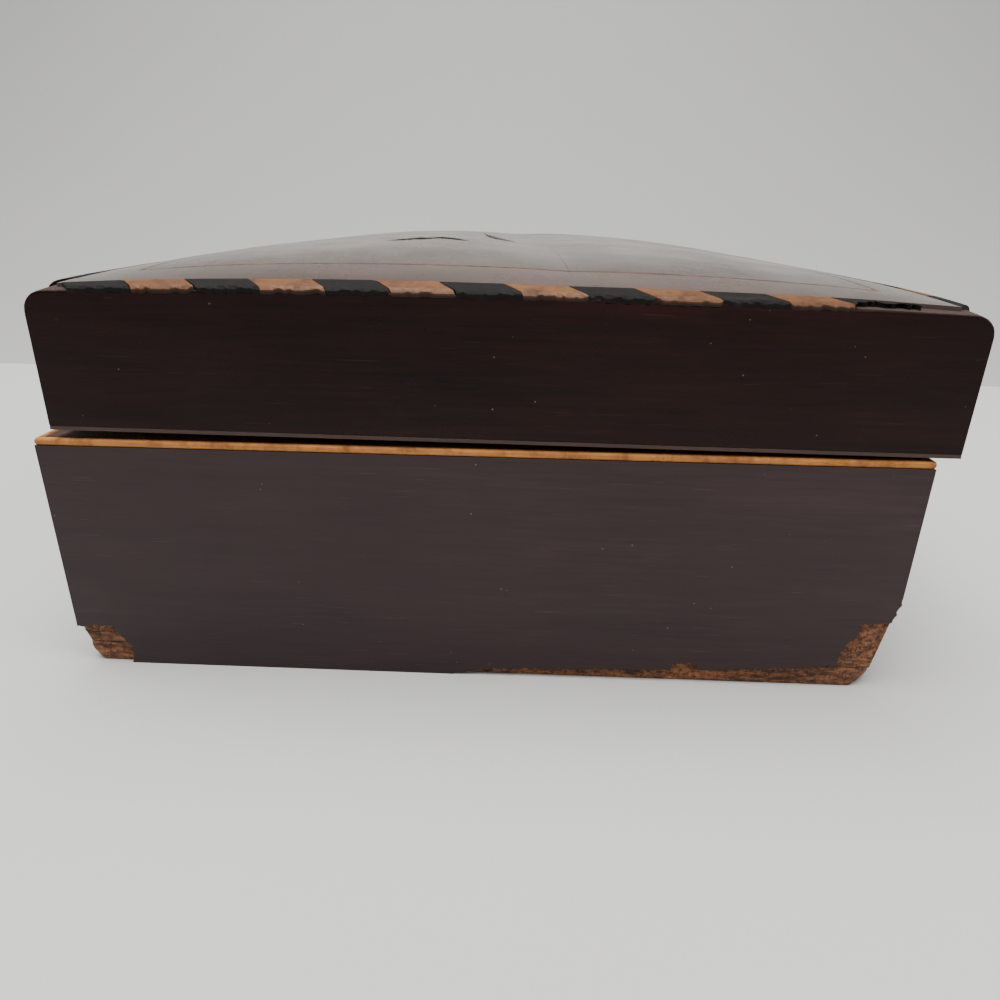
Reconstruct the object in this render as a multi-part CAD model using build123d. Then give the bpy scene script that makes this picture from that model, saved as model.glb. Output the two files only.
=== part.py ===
"""Keepsake box with a crowned lid: veneered, strung and banded, with butt hinges and a box lock.

X runs from the lock side (negative) to the hinge side (positive), Y from end to end and Z up.
The origin is the middle of the face that the box rests on. The end at negative Y is the right
end for someone who faces the lock, and is called so here.
"""

import os
from math import asin, cos, degrees, radians, sin

from build123d import *

# Overall sizes, in millimetres
box_width = 240.0
box_length = 330.0
base_height = 71.0
lid_height = 37.0

# Crown of the lid: its rise, where it is highest, the bow of its edges and how square its shoulders are
crown_rise = 12.0
crown_peak_x = -15.0
edge_bow = 2.0
crown_power_across = 2.4
crown_power_along = 5.0
crown_steps = 8

# Shallow valley where the lid's two top boards have cupped along their joint
valley_depth = 1.2
valley_half_width = 24.0
valley_right_end_x = 19.0
valley_left_end_x = -6.0

# Boards, veneers and linings
side_board = 9.0
bottom_board = 6.5
top_board_edge = 6.0
veneer = 1.2
glue_line = 0.03
rim_facing = 1.2
lining = 0.5
lining_below_rim = 1.5

# Dovetails at the corners of both carcasses
base_tail_count = 3
lid_tail_count = 2
tail_slope = 1.4
tail_share = 0.55

# Inlay on the base's rim and on the lid's top
stringing = 2.0
banding_width = 6.0
banding_piece = 16.2
banding_slant = 5.0
banding_start = 11.1
border_inset = 20.0
line_width = 1.2

# How the lid hangs: it has slipped towards the hinge side and its front is held open a little
lid_shift = 5.4
seam_gap = 1.0
plate_proud = 1.2
plate_rest = 0.08

# Stopped butt hinges
hinge_length = 42.0
hinge_from_end = 60.0
knuckle_count = 5
knuckle_radius = 2.6
knuckle_gap = 0.15
pin_radius = 1.2
pin_clearance = 0.05
leaf_thickness = 1.6
base_leaf_width = 13.2
lid_leaf_width = 8.8
stop_radius = 5.0
turning_clearance = 0.4
lid_opens_to = 100.0
stop_clearance = 0.6
sector_steps = 6
barrel_sides = 14

# Wood screws
screw_head_radius = 2.2
screw_shank_radius = 1.1
screw_length = 8.0
small_head_radius = 1.5
small_shank_radius = 0.8
small_screw_length = 5.0
screw_sides = 10
tip_radius = 0.2
hinge_screw_spacing = 14.0
base_hinge_screw_inset = 4.4
lid_hinge_screw_inset = 5.9

# Box lock, let into the lock side's board
lock_half_width = 20.4
lock_plate_half_width = 24.5
lock_plate = 1.2
lock_height = 29.0
lock_plate_below = 4.0
lock_depth = 5.4
lock_wall = 1.0
selvedge_half_length = 31.0
selvedge_thickness = 1.6
selvedge_width = 7.8
key_below_rim = 22.0
key_hole_radius = 2.4
key_slot_width = 2.0
key_slot_reach = 5.5
drill_pin_radius = 1.1
escutcheon_width = 15.0
escutcheon_height = 23.0

# Bolt and the staples of the link plate that it catches
bolt_thickness = 1.3
bolt_from_plate = 1.55
bolt_below_rim = 11.0
bolt_height = 7.0
bolt_throw = 5.0
horn_below_rim = 2.0
horn_height = 2.8
post_width = 3.0
horn_length = 4.9
staple_spacing = 18.0
staple_width = 2.0
staple_wire = 1.0
staple_eye = 2.0
staple_drop = 8.0
staple_clearance = 0.4
stump_height = 2.4
stump_width = 3.0
stump_clearance = 0.1

# Places worked out from the sizes above
half_width = box_width / 2
half_length = box_length / 2
carcass_x = half_width - veneer
carcass_y = half_length - veneer
inside_x = carcass_x - side_board
inside_y = carcass_y - side_board
hinge_x = half_width + lid_shift
hinge_z = base_height + seam_gap / 2
hinge_from_middle = half_length - hinge_from_end
key_height = base_height - key_below_rim
bolt_top = base_height - bolt_below_rim
bolt_bottom = bolt_top - bolt_height
horn_top = base_height - horn_below_rim
horn_bottom = horn_top - horn_height
lid_ceiling = lid_height - veneer - top_board_edge
over_lid = lid_height + 2 * crown_rise
lock_line_x = -inside_x - lock_plate - bolt_from_plate - bolt_thickness / 2
front_gap = 2 * plate_proud + plate_rest
lid_lean = degrees(asin((front_gap - seam_gap) / (hinge_x - lock_line_x)))
seated_lid = (
    Pos(hinge_x, 0, hinge_z)
    * Rot(0, lid_lean, 0)
    * Pos(-hinge_x, 0, -hinge_z)
    * Pos(lid_shift, 0, base_height + seam_gap)
)

sides = ("front", "back", "right_end", "left_end")
parts = {}


def block(x0, x1, y0, y1, z0, z1):
    """A square-edged block between two corners."""
    return Pos((x0 + x1) / 2, (y0 + y1) / 2, (z0 + z1) / 2) * Box(x1 - x0, y1 - y0, z1 - z0)


def prism(points, z0, z1):
    """An upright prism on a plan outline."""
    return extrude(Pos(0, 0, z0) * Polygon(*points, align=None), z1 - z0, dir=(0, 0, 1))


def end_prism(points, y0, y1):
    """A prism along Y on an outline of (x, z) points."""
    outline = make_face(Polyline(*[(x, y0, z) for x, z in points], close=True))
    return extrude(outline, y1 - y0, dir=(0, 1, 0))


def front_prism(points, x0, x1):
    """A prism along X on an outline of (y, z) points."""
    outline = make_face(Polyline(*[(x0, y, z) for y, z in points], close=True))
    return extrude(outline, x1 - x0, dir=(1, 0, 0))


def rod(centre, direction, radius, length):
    """A round rod that starts at a point and runs along a direction."""
    return extrude(Plane(origin=centre, z_dir=direction) * Circle(radius), length)


def mitred(side, outer, inner, z0, z1):
    """One side of a mitred frame: outer and inner are the frame's inset from the box's faces."""
    ox, oy = half_width - outer, half_length - outer
    ix, iy = half_width - inner, half_length - inner
    outlines = {
        "front": [(-ox, oy), (-ox, -oy), (-ix, -iy), (-ix, iy)],
        "back": [(ox, -oy), (ox, oy), (ix, iy), (ix, -iy)],
        "right_end": [(-ox, -oy), (ox, -oy), (ix, -iy), (-ix, -iy)],
        "left_end": [(ox, oy), (-ox, oy), (-ix, iy), (ix, iy)],
    }
    return prism(outlines[side], z0, z1)


def keep(name, shape):
    """Name a finished piece of the base."""
    parts[name] = shape


def keep_on_lid(name, shape):
    """Name a finished piece of the lid, and hang it as the lid hangs."""
    parts[name] = seated_lid * shape


# Crown of the lid


def valley_x(y):
    """Where the joint of the two top boards lies, at a distance along the box."""
    share = (y + half_length) / box_length
    return valley_right_end_x + share * (valley_left_end_x - valley_right_end_x)


def crown_height(x, y):
    """Height of the lid's top above its corners."""
    edge = edge_bow / crown_rise
    from_peak = x - crown_peak_x
    reach = half_width - crown_peak_x if from_peak > 0 else half_width + crown_peak_x
    across = 1 - abs(from_peak / reach) ** crown_power_across
    along = 1 - abs(y / half_length) ** crown_power_along
    swell = (edge + (1 - edge) * across) * (edge + (1 - edge) * along) - edge * edge
    off_valley = (x - valley_x(y)) / valley_half_width
    return crown_rise * swell - valley_depth * max(along, 0) / (1 + off_valley**2)


def crown_surface():
    """The lid's top as a smooth surface a little larger than the lid."""
    rows = []
    for j in range(crown_steps + 1):
        y = (2 * j / crown_steps - 1) * (half_length + veneer)
        row = []
        for i in range(2 * crown_steps + 1):
            x = (i / crown_steps - 1) * (half_width + veneer)
            row.append((x, y, lid_height + crown_height(x, y)))
        rows.append(row)
    return Face.make_surface_from_array_of_points(rows)


crown = crown_surface()
skin = extrude(crown, veneer, dir=(0, 0, -1))
below_skin = extrude(Pos(0, 0, -veneer - glue_line) * crown, over_lid, dir=(0, 0, -1))


# Carcasses


def tails(height, bottom, count, x0, x1, end):
    """Dovetails at one end of a long board: end is -1 or 1 along Y."""
    pitch = height / count
    half = pitch * tail_share / 2
    shoulder = end * inside_y
    tip = end * carcass_y
    made = []
    for i in range(count):
        z = bottom + pitch * (i + 0.5)
        outline = [(shoulder, z - half), (tip, z - half - tail_slope)]
        outline += [(tip, z + half + tail_slope), (shoulder, z + half)]
        made.append(front_prism(outline, x0, x1))
    return made


def carcass(bottom, top, count):
    """Four boards dovetailed together: the long ones carry the tails."""
    boards = {}
    sockets = []
    for side, x0, x1 in (("front", -carcass_x, -inside_x), ("back", inside_x, carcass_x)):
        shape = block(x0, x1, -inside_y, inside_y, bottom, top)
        for end in (-1, 1):
            cut = tails(top - bottom, bottom, count, x0, x1, end)
            sockets += cut
            for tail in cut:
                shape += tail
        boards[side] = shape
    for side, y0, y1 in (("right_end", -carcass_y, -inside_y), ("left_end", inside_y, carcass_y)):
        shape = block(-carcass_x, carcass_x, y0, y1, bottom, top)
        for tail in sockets:
            shape -= tail
        boards[side] = shape
    return boards


def faceted(rings, sides_round):
    """A closed shape with flat sides through rings given as (radius, height), from the top down."""
    corners = []
    for radius, z in rings:
        turns = [radians(360 * i / sides_round) for i in range(sides_round)]
        corners.append([(radius * cos(turn), radius * sin(turn), z) for turn in turns])
    faces = [make_face(Polyline(*corners[0], close=True)), make_face(Polyline(*corners[-1], close=True))]
    for upper, lower in zip(corners, corners[1:]):
        for i in range(sides_round):
            j = (i + 1) % sides_round
            faces.append(make_face(Polyline(upper[i], upper[j], lower[j], lower[i], close=True)))
    return Solid(Shell([face.face() for face in faces]))


def barrel(start, run, radius):
    """A barrel along Y round the hinge's axis, with flat sides."""
    turns = [radians(360 * i / barrel_sides) for i in range(barrel_sides)]
    return end_prism([(radius * cos(turn), radius * sin(turn)) for turn in turns], start, start + run)


def screw(head_radius, shank_radius, length):
    """A countersunk wood screw that points down from the origin, without its slot.

    Its rings have flats, which keeps the model light.
    """
    head_depth = head_radius - shank_radius
    shank_end = length - shank_radius
    rings = [(head_radius, 0), (shank_radius, -head_depth), (shank_radius, -shank_end), (tip_radius, -length)]
    return faceted(rings, screw_sides)


def slotted(place, shape, head_radius):
    """A screw at its place, with the slot in its head."""
    slot = block(-head_radius, head_radius, -head_radius / 6, head_radius / 6, -head_radius / 4, head_radius)
    return place * (shape - slot)


# Hinges


def sector(start, stop, radius):
    """Outline of a disc's part between two angles, round the hinge's axis, in (x, z)."""
    points = [(0, 0)]
    for i in range(sector_steps + 1):
        turn = radians(start + (stop - start) * i / sector_steps)
        points.append((radius * cos(turn), radius * sin(turn)))
    return points


def leaf(width, stop_from, stop_to, face, own):
    """One leaf about the hinge's axis: face is -1 for the base's leaf and 1 for the lid's.

    own names the knuckles that belong to it. Behind the barrel it carries the stop, which
    meets the other leaf's stop when the lid is open.
    """
    pitch = hinge_length / knuckle_count
    near, far = sorted((face * seam_gap / 2, face * (seam_gap / 2 + leaf_thickness)))
    shape = block(-width, 0, -hinge_length / 2, hinge_length / 2, near, far)
    shape += end_prism(sector(stop_from, stop_to, stop_radius), -hinge_length / 2, hinge_length / 2)
    for i in range(knuckle_count):
        start = -hinge_length / 2 + i * pitch
        if i not in own:
            low = start - knuckle_gap
            turning_radius = knuckle_radius + turning_clearance
            shape -= barrel(low, pitch + 2 * knuckle_gap, turning_radius)
    for i in own:
        start = -hinge_length / 2 + i * pitch
        low = start + (knuckle_gap if i > 0 else 0)
        high = start + pitch - (knuckle_gap if i < knuckle_count - 1 else 0)
        shape += barrel(low, high - low, knuckle_radius)
    return shape


def hinge_screw_places(x, z, facing):
    """Where one leaf's screws go: facing is 1 for heads up and -1 for heads down."""
    turn = Rot(0, 0, 0) if facing == 1 else Rot(180, 0, 0)
    return [Pos(x, hinge_screw_spacing * i, z) * turn for i in (-1, 0, 1)]


wood_screw = screw(screw_head_radius, screw_shank_radius, screw_length)
small_screw = screw(small_head_radius, small_shank_radius, small_screw_length)
stop_angle = (lid_opens_to + stop_clearance) / 2
base_knuckles = range(0, knuckle_count, 2)
lid_knuckles = range(1, knuckle_count, 2)
hinge_bore = rod((0, -hinge_length / 2, 0), (0, 1, 0), pin_radius, hinge_length)
lid_hinge_bore = rod((0, -hinge_length / 2, 0), (0, 1, 0), pin_radius + pin_clearance, hinge_length)
base_leaf = leaf(base_leaf_width, -90, -stop_angle, -1, base_knuckles) - hinge_bore
lid_leaf = leaf(lid_leaf_width, stop_angle, 90, 1, lid_knuckles) - lid_hinge_bore
base_leaf_top = -seam_gap / 2
lid_leaf_bottom = seam_gap / 2
base_screw_x = -base_leaf_width + base_hinge_screw_inset
lid_screw_x = -lid_hinge_screw_inset
base_screw_places = hinge_screw_places(base_screw_x, base_leaf_top, 1)
lid_screw_places = hinge_screw_places(lid_screw_x, lid_leaf_bottom, -1)
for spot in base_screw_places:
    base_leaf -= spot * wood_screw
for spot in lid_screw_places:
    lid_leaf -= spot * wood_screw

hinge_spots = {"right_hinge": -hinge_from_middle, "left_hinge": hinge_from_middle}
lid_axis_z = -seam_gap / 2
groove_reach = knuckle_radius + turning_clearance


def base_hinge_cuts(shape):
    """Let the hinges' leaves and screws into a piece of the base."""
    for y in hinge_spots.values():
        place = Pos(hinge_x, y, hinge_z)
        leaf_bed = block(
            -base_leaf_width, 0, -hinge_length / 2, hinge_length / 2,
            -seam_gap / 2 - leaf_thickness, seam_gap,
        )
        shape -= place * leaf_bed
        for spot in base_screw_places:
            shape -= place * spot * wood_screw
    return shape


def lid_hinge_cuts(shape):
    """Let the hinges' leaves, barrels and screws into a piece of the lid."""
    for y in hinge_spots.values():
        place = Pos(half_width, y, lid_axis_z)
        leaf_bed = block(
            -lid_leaf_width, 0, -hinge_length / 2, hinge_length / 2,
            -seam_gap, seam_gap / 2 + leaf_thickness,
        )
        groove = barrel(-hinge_length / 2 - knuckle_gap, hinge_length + 2 * knuckle_gap, groove_reach)
        shape -= place * leaf_bed
        shape -= place * groove
        for spot in lid_screw_places:
            shape -= place * spot * wood_screw
    return shape


def make_hinges():
    """Leaves, pins and screws of both hinges."""
    base_screws = []
    lid_screws = []
    for name, y in hinge_spots.items():
        place = Pos(hinge_x, y, hinge_z)
        lid_place = Pos(half_width, y, lid_axis_z)
        pin = rod((0, -hinge_length / 2, 0), (0, 1, 0), pin_radius, hinge_length)
        keep(name + "_base_leaf", place * base_leaf)
        keep(name + "_pin", place * pin)
        keep_on_lid(name + "_lid_leaf", lid_place * lid_leaf)
        base_screws += [slotted(place * spot, wood_screw, screw_head_radius) for spot in base_screw_places]
        lid_screws += [slotted(lid_place * spot, wood_screw, screw_head_radius) for spot in lid_screw_places]
    keep("base_hinge_screws", Compound(children=base_screws))
    keep_on_lid("lid_hinge_screws", Compound(children=lid_screws))


# Lock

case_back_x = -inside_x - lock_plate
case_front_x = case_back_x - lock_depth
selvedge_top = base_height + plate_proud
selvedge_bottom = selvedge_top - selvedge_thickness
case_bottom = selvedge_bottom - lock_height
plate_bottom = case_bottom - lock_plate_below
bolt_back_x = case_back_x - bolt_from_plate
bolt_front_x = bolt_back_x - bolt_thickness
staple_half_x = staple_eye / 2 + staple_wire
staple_places = (-staple_spacing / 2, staple_spacing / 2)
stump_z = (bolt_bottom + bolt_top) / 2


def keyhole(x0, x1):
    """The keyhole's tunnel: a round hole with a slot below it."""
    hole = rod((x0, 0, key_height), (1, 0, 0), key_hole_radius, x1 - x0)
    half = key_slot_width / 2
    return hole + block(x0, x1, -half, half, key_height - key_slot_reach, key_height)


def lozenge(x0, x1):
    """The outline of the keyhole's inlay."""
    half, rise = escutcheon_width / 2, escutcheon_height / 2
    middle = key_height - key_slot_reach / 2
    corners = [(-half, middle), (0, middle - rise), (half, middle), (0, middle + rise)]
    return front_prism(corners, x0, x1)


def lock_screw_places():
    """Screws through the lock's plate, and through its selvedge."""
    y_plate = (lock_half_width + lock_plate_half_width) / 2
    y_selvedge = (lock_plate_half_width + selvedge_half_length) / 2
    x_selvedge = -inside_x - selvedge_width / 2
    heights = (plate_bottom + lock_plate_below, selvedge_bottom - lock_plate_below)
    through_plate = [Pos(-inside_x, y, z) * Rot(0, 90, 0) for y in (-y_plate, y_plate) for z in heights]
    through_selvedge = [Pos(x_selvedge, y, selvedge_top) for y in (-y_selvedge, y_selvedge)]
    return through_plate + through_selvedge


def selvedge(grow):
    """The plate on the rim that is one with the lock's plate."""
    end = selvedge_half_length + grow
    return block(-inside_x - selvedge_width, -inside_x, -end, end, selvedge_bottom, selvedge_top)


def base_lock_cuts(shape):
    """Let the lock into a piece of the base."""
    end = lock_half_width
    shape -= block(case_front_x, -inside_x, -end, end, case_bottom, base_height + seam_gap)
    end = lock_plate_half_width
    shape -= block(case_back_x, -inside_x, -end, end, plate_bottom, base_height + seam_gap)
    shape -= selvedge(0)
    shape -= keyhole(-half_width - veneer, case_front_x)
    for spot in lock_screw_places():
        shape -= spot * small_screw
    return shape


def make_lock():
    """Plate with selvedge, case, bolt, screws and the keyhole's inlay."""
    end = lock_plate_half_width
    plate = block(case_back_x, -inside_x, -end, end, plate_bottom, selvedge_bottom) + selvedge(0)
    for y in staple_places:
        reach_x = staple_half_x + staple_clearance
        reach_y = staple_width / 2 + staple_clearance
        low, high = selvedge_bottom - lock_wall, selvedge_top + lock_wall
        plate -= block(lock_line_x - reach_x, lock_line_x + reach_x, y - reach_y, y + reach_y, low, high)
    plate += rod((case_back_x, 0, key_height), (-1, 0, 0), drill_pin_radius, lock_depth)
    stump_low = stump_z - stump_height / 2
    stump_high = stump_z + stump_height / 2
    stump_x = case_front_x + lock_wall
    plate += block(stump_x, case_back_x, -stump_width / 2, stump_width / 2, stump_low, stump_high)
    for spot in lock_screw_places():
        plate -= spot * small_screw
    keep("lock_plate", plate)

    end = lock_half_width
    cap = block(case_front_x, case_back_x, -end, end, case_bottom, selvedge_bottom)
    end -= lock_wall
    cap -= block(case_front_x + lock_wall, case_back_x, -end, end, case_bottom + lock_wall, selvedge_bottom)
    cap -= keyhole(case_front_x - lock_wall, case_front_x + lock_wall)
    keep("lock_case", cap)

    post_start = staple_width / 2 + staple_clearance + bolt_throw
    first_post = staple_places[0] - post_start - post_width
    last_post = staple_places[1] - post_start
    bolt = block(bolt_front_x, bolt_back_x, first_post, last_post, bolt_bottom, bolt_top)
    slot_back = -stump_width / 2 - bolt_throw - stump_clearance
    slot_front = stump_width / 2 + stump_clearance
    slot_low, slot_high = stump_low - stump_clearance, stump_high + stump_clearance
    tail = slot_front + post_width
    bolt += block(bolt_front_x, bolt_back_x, last_post, tail, bolt_bottom, bolt_top)
    for y in staple_places:
        post_end = y - post_start
        bolt += block(bolt_front_x, bolt_back_x, post_end - post_width, post_end, bolt_top, horn_top)
        bolt += block(bolt_front_x, bolt_back_x, post_end, post_end + horn_length, horn_bottom, horn_top)
    bolt -= block(bolt_front_x, bolt_back_x, slot_back, slot_front, slot_low, slot_high)
    talon = key_hole_radius + stump_clearance
    bolt -= rod((bolt_front_x, -bolt_throw, bolt_bottom), (1, 0, 0), talon, bolt_thickness)
    keep("lock_bolt", bolt)

    screws = [slotted(spot, small_screw, small_head_radius) for spot in lock_screw_places()]
    keep("lock_screws", Compound(children=screws))
    keep("keyhole_escutcheon", lozenge(-half_width, -carcass_x) - keyhole(-half_width, -carcass_x))


def link_screw_places():
    """Screws through the link plate into the lid."""
    x = -half_width + veneer + selvedge_width / 2
    y = (lock_plate_half_width + staple_spacing / 2) / 2
    return [Pos(x, side * y, -plate_proud) * Rot(180, 0, 0) for side in (-1, 1)]


def link_plate_blank():
    """The link plate without its staples, in the lid's own frame."""
    x0 = -half_width + veneer
    end = lock_plate_half_width
    top = selvedge_thickness - plate_proud
    return block(x0, x0 + selvedge_width, -end, end, -plate_proud, top)


def lid_lock_cuts(shape):
    """Let the link plate into a piece of the lid."""
    shape -= link_plate_blank()
    for spot in link_screw_places():
        shape -= spot * small_screw
    return shape


def make_link_plate():
    """The plate on the lid's rim, with the two staples that the bolt catches."""
    plate = link_plate_blank()
    middle = lock_line_x - lid_shift
    bottom = -plate_proud - staple_drop
    for y in staple_places:
        y0, y1 = y - staple_width / 2, y + staple_width / 2
        loop = block(middle - staple_half_x, middle + staple_half_x, y0, y1, bottom, -plate_proud)
        eye = staple_eye / 2
        loop -= block(middle - eye, middle + eye, y0, y1, bottom + staple_wire, -plate_proud)
        plate += loop
    for spot in link_screw_places():
        plate -= spot * small_screw
    keep_on_lid("link_plate", plate)
    screws = [slotted(spot, small_screw, small_head_radius) for spot in link_screw_places()]
    keep_on_lid("link_screws", Compound(children=screws))


# Wear on the base's right end, as outlines in (x from the lock side's face, height)

chip_at_lock_side = [
    (-veneer, -veneer), (-veneer, 12.2), (10.7, 13.0), (13.0, 8.9), (15.8, 5.8), (14.8, -veneer),
]
chip_at_hinge_side = [
    (box_width + veneer, -veneer), (box_width + veneer, 30.5), (239.6, 27.5), (238.6, 22.8),
    (229.7, 21.7), (230.0, 19.0), (227.1, 14.8), (225.2, 7.4),
    (210.5, 5.9), (185.9, 4.5), (185.0, 6.6), (178.2, 6.3), (177.8, 4.2), (156.9, 3.6),
    (121.9, 2.1), (112.0, -veneer),
]
chip_depth_along = 9.0
worn_corner_at_lock_side = 3.0
worn_corner_at_hinge_side = 8.0


def right_end_chips(shape, depth):
    """Cut the lost veneer out of a piece at the right end, to a depth along Y."""
    for outline in (chip_at_lock_side, chip_at_hinge_side):
        points = [(x - half_width, z) for x, z in outline]
        shape -= end_prism(points, -half_length - veneer, -half_length + depth)
    return shape


# Pieces of the base


def make_base():
    """Carcass, bottom board, veneers, stringing and linings."""
    line_bed = {}
    for side in sides:
        line_bed[side] = mitred(side, -veneer, stringing, base_height - stringing, base_height + veneer)

    boards = carcass(bottom_board, base_height, base_tail_count)
    for side, board in boards.items():
        for bed in line_bed.values():
            board -= bed
        if side == "front":
            board = base_lock_cuts(board)
        if side == "back":
            board = base_hinge_cuts(board)
        keep("base_" + side + "_board", board)

    bottom = block(-carcass_x, carcass_x, -carcass_y, carcass_y, 0, bottom_board)
    uprights = bottom.edges().filter_by(Axis.Z)
    worn_at_lock = [edge for edge in uprights if edge.center().X < 0 and edge.center().Y < 0]
    bottom = fillet(worn_at_lock, worn_corner_at_lock_side)
    uprights = bottom.edges().filter_by(Axis.Z)
    worn_at_hinges = [edge for edge in uprights if edge.center().X > inside_x and edge.center().Y < -inside_y]
    bottom = fillet(worn_at_hinges, worn_corner_at_hinge_side)
    keep("bottom_board", bottom)

    for side in sides:
        sheet = mitred(side, 0, veneer, 0, base_height - stringing)
        if side == "front":
            sheet -= lozenge(-half_width - veneer, -carcass_x)
        if side == "right_end":
            sheet = right_end_chips(sheet, veneer)
        else:
            sheet = right_end_chips(sheet, chip_depth_along)
        keep("base_" + side + "_veneer", sheet)

    for side in sides:
        strip = mitred(side, 0, stringing, base_height - stringing, base_height)
        if side == "back":
            strip = base_hinge_cuts(strip)
        keep("base_" + side + "_stringing", strip)

    floor_top = bottom_board + lining
    keep("base_floor_lining", block(-inside_x, inside_x, -inside_y, inside_y, bottom_board, floor_top))
    walls = block(-inside_x, inside_x, -inside_y, inside_y, floor_top, base_height - lining_below_rim)
    x, y = inside_x - lining, inside_y - lining
    walls -= block(-x, x, -y, y, floor_top, base_height)
    end = lock_plate_half_width
    walls -= block(-inside_x, -x, -end, end, plate_bottom, base_height)
    keep("base_wall_lining", walls)


# Pieces of the lid


def banding_piece_outline(side, start):
    """Plan of one slanted piece of the edge banding, from its start along the outer edge."""
    corners = {
        "right_end": ((-half_width, -half_length), (1, 0), (0, 1)),
        "back": ((half_width, -half_length), (0, 1), (-1, 0)),
        "left_end": ((half_width, half_length), (-1, 0), (0, -1)),
        "front": ((-half_width, half_length), (0, -1), (1, 0)),
    }
    (x, y), (dx, dy), (nx, ny) = corners[side]
    lean = banding_slant / banding_width
    reach = banding_width + veneer
    points = []
    for along, in_by in (
        (start + veneer * lean, -veneer),
        (start + banding_piece + veneer * lean, -veneer),
        (start + banding_piece - reach * lean, reach),
        (start - reach * lean, reach),
    ):
        points.append((x + dx * along + nx * in_by, y + dy * along + ny * in_by))
    return points


def make_banding():
    """Slanted dark and light pieces round the lid's top edge, lost at two corners."""
    made = {"dark": [], "light": []}
    right_end_kept = range(0, 12)
    for side in sides:
        length = box_width if side.endswith("end") else box_length
        strip = skin & mitred(side, 0, banding_width, 0, over_lid)
        count = int((length - banding_start) / banding_piece) + 2
        for k in range(-1, count):
            if side == "right_end" and k not in right_end_kept:
                continue
            if side == "front" and k >= count - 2:
                continue
            outline = banding_piece_outline(side, banding_start + k * banding_piece)
            piece = strip & prism(outline, 0, over_lid)
            colour = "dark" if k % 2 == 0 else "light"
            made[colour] += [solid for solid in piece.solids() if solid.volume > 1]
    for colour, pieces in made.items():
        keep_on_lid("banding_" + colour, Compound(children=pieces))


def make_lid_top():
    """Two top boards, two leaves of field veneer, the mitred border and its line."""
    outer = half_length + veneer
    right_x, left_x = valley_x(-outer), valley_x(outer)
    far = half_width + veneer
    halves = {
        "front": [(right_x, -outer), (left_x, outer), (-far, outer), (-far, -outer)],
        "back": [(left_x, outer), (right_x, -outer), (far, -outer), (far, outer)],
    }
    whole = block(-carcass_x, carcass_x, -carcass_y, carcass_y, lid_ceiling, over_lid)
    top = whole & below_skin
    inner = border_inset + line_width
    field_x, field_y = half_width - inner, half_length - inner
    field = skin & block(-field_x, field_x, -field_y, field_y, 0, over_lid)
    for side, outline in halves.items():
        half = prism(outline, 0, over_lid)
        keep_on_lid("lid_top_" + side + "_board", top & half)
        keep_on_lid("lid_field_" + side + "_veneer", field & half)
    for side in sides:
        border = skin & mitred(side, banding_width, border_inset, 0, over_lid)
        keep_on_lid("lid_" + side + "_border", border)
        line = skin & mitred(side, border_inset, inner, 0, over_lid)
        keep_on_lid("lid_" + side + "_line", line)


def make_lid_sides():
    """Lid's carcass, veneers, rim facings and linings."""
    boards = carcass(rim_facing, lid_ceiling, lid_tail_count)
    for side in sides:
        board = boards[side]
        sheet = mitred(side, 0, veneer, rim_facing, over_lid) & below_skin
        facing = mitred(side, 0, veneer + side_board, 0, rim_facing)
        if side == "front":
            board = lid_lock_cuts(board)
            facing = lid_lock_cuts(facing)
        if side == "back":
            board = lid_hinge_cuts(board)
            sheet = lid_hinge_cuts(sheet)
            facing = lid_hinge_cuts(facing)
        keep_on_lid("lid_" + side + "_board", board)
        keep_on_lid("lid_" + side + "_veneer", sheet)
        keep_on_lid("lid_" + side + "_rim_facing", facing)

    ceiling = lid_ceiling - lining
    keep_on_lid("lid_ceiling_lining", block(-inside_x, inside_x, -inside_y, inside_y, ceiling, lid_ceiling))
    walls = block(-inside_x, inside_x, -inside_y, inside_y, lining_below_rim, ceiling)
    x, y = inside_x - lining, inside_y - lining
    walls -= block(-x, x, -y, y, 0, lid_height)
    keep_on_lid("lid_wall_lining", walls)


make_base()
make_lock()
make_hinges()
make_lid_sides()
make_lid_top()
make_banding()
make_link_plate()

os.makedirs("parts", exist_ok=True)
for part_name, part_shape in parts.items():
    export_step(part_shape, "parts/" + part_name + ".step")
print("nodes", len(parts))
print("hinge axis x and z", round(hinge_x, 3), round(hinge_z, 3), "lid lean", round(lid_lean, 3))
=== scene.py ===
"""Keepsake box: its veneers, banding, brass and papers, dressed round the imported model.

X runs from the lock side to the hinge side, Y away from the camera and Z up, in metres.
The end at negative Y is the right end for someone who faces the lock.
"""

from math import cos, exp, hypot, pi, radians, sin, sqrt

import bmesh
import bpy
from bpy.props import FloatProperty, FloatVectorProperty, IntProperty, PointerProperty
from mathutils import Matrix, Vector, noise


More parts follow.
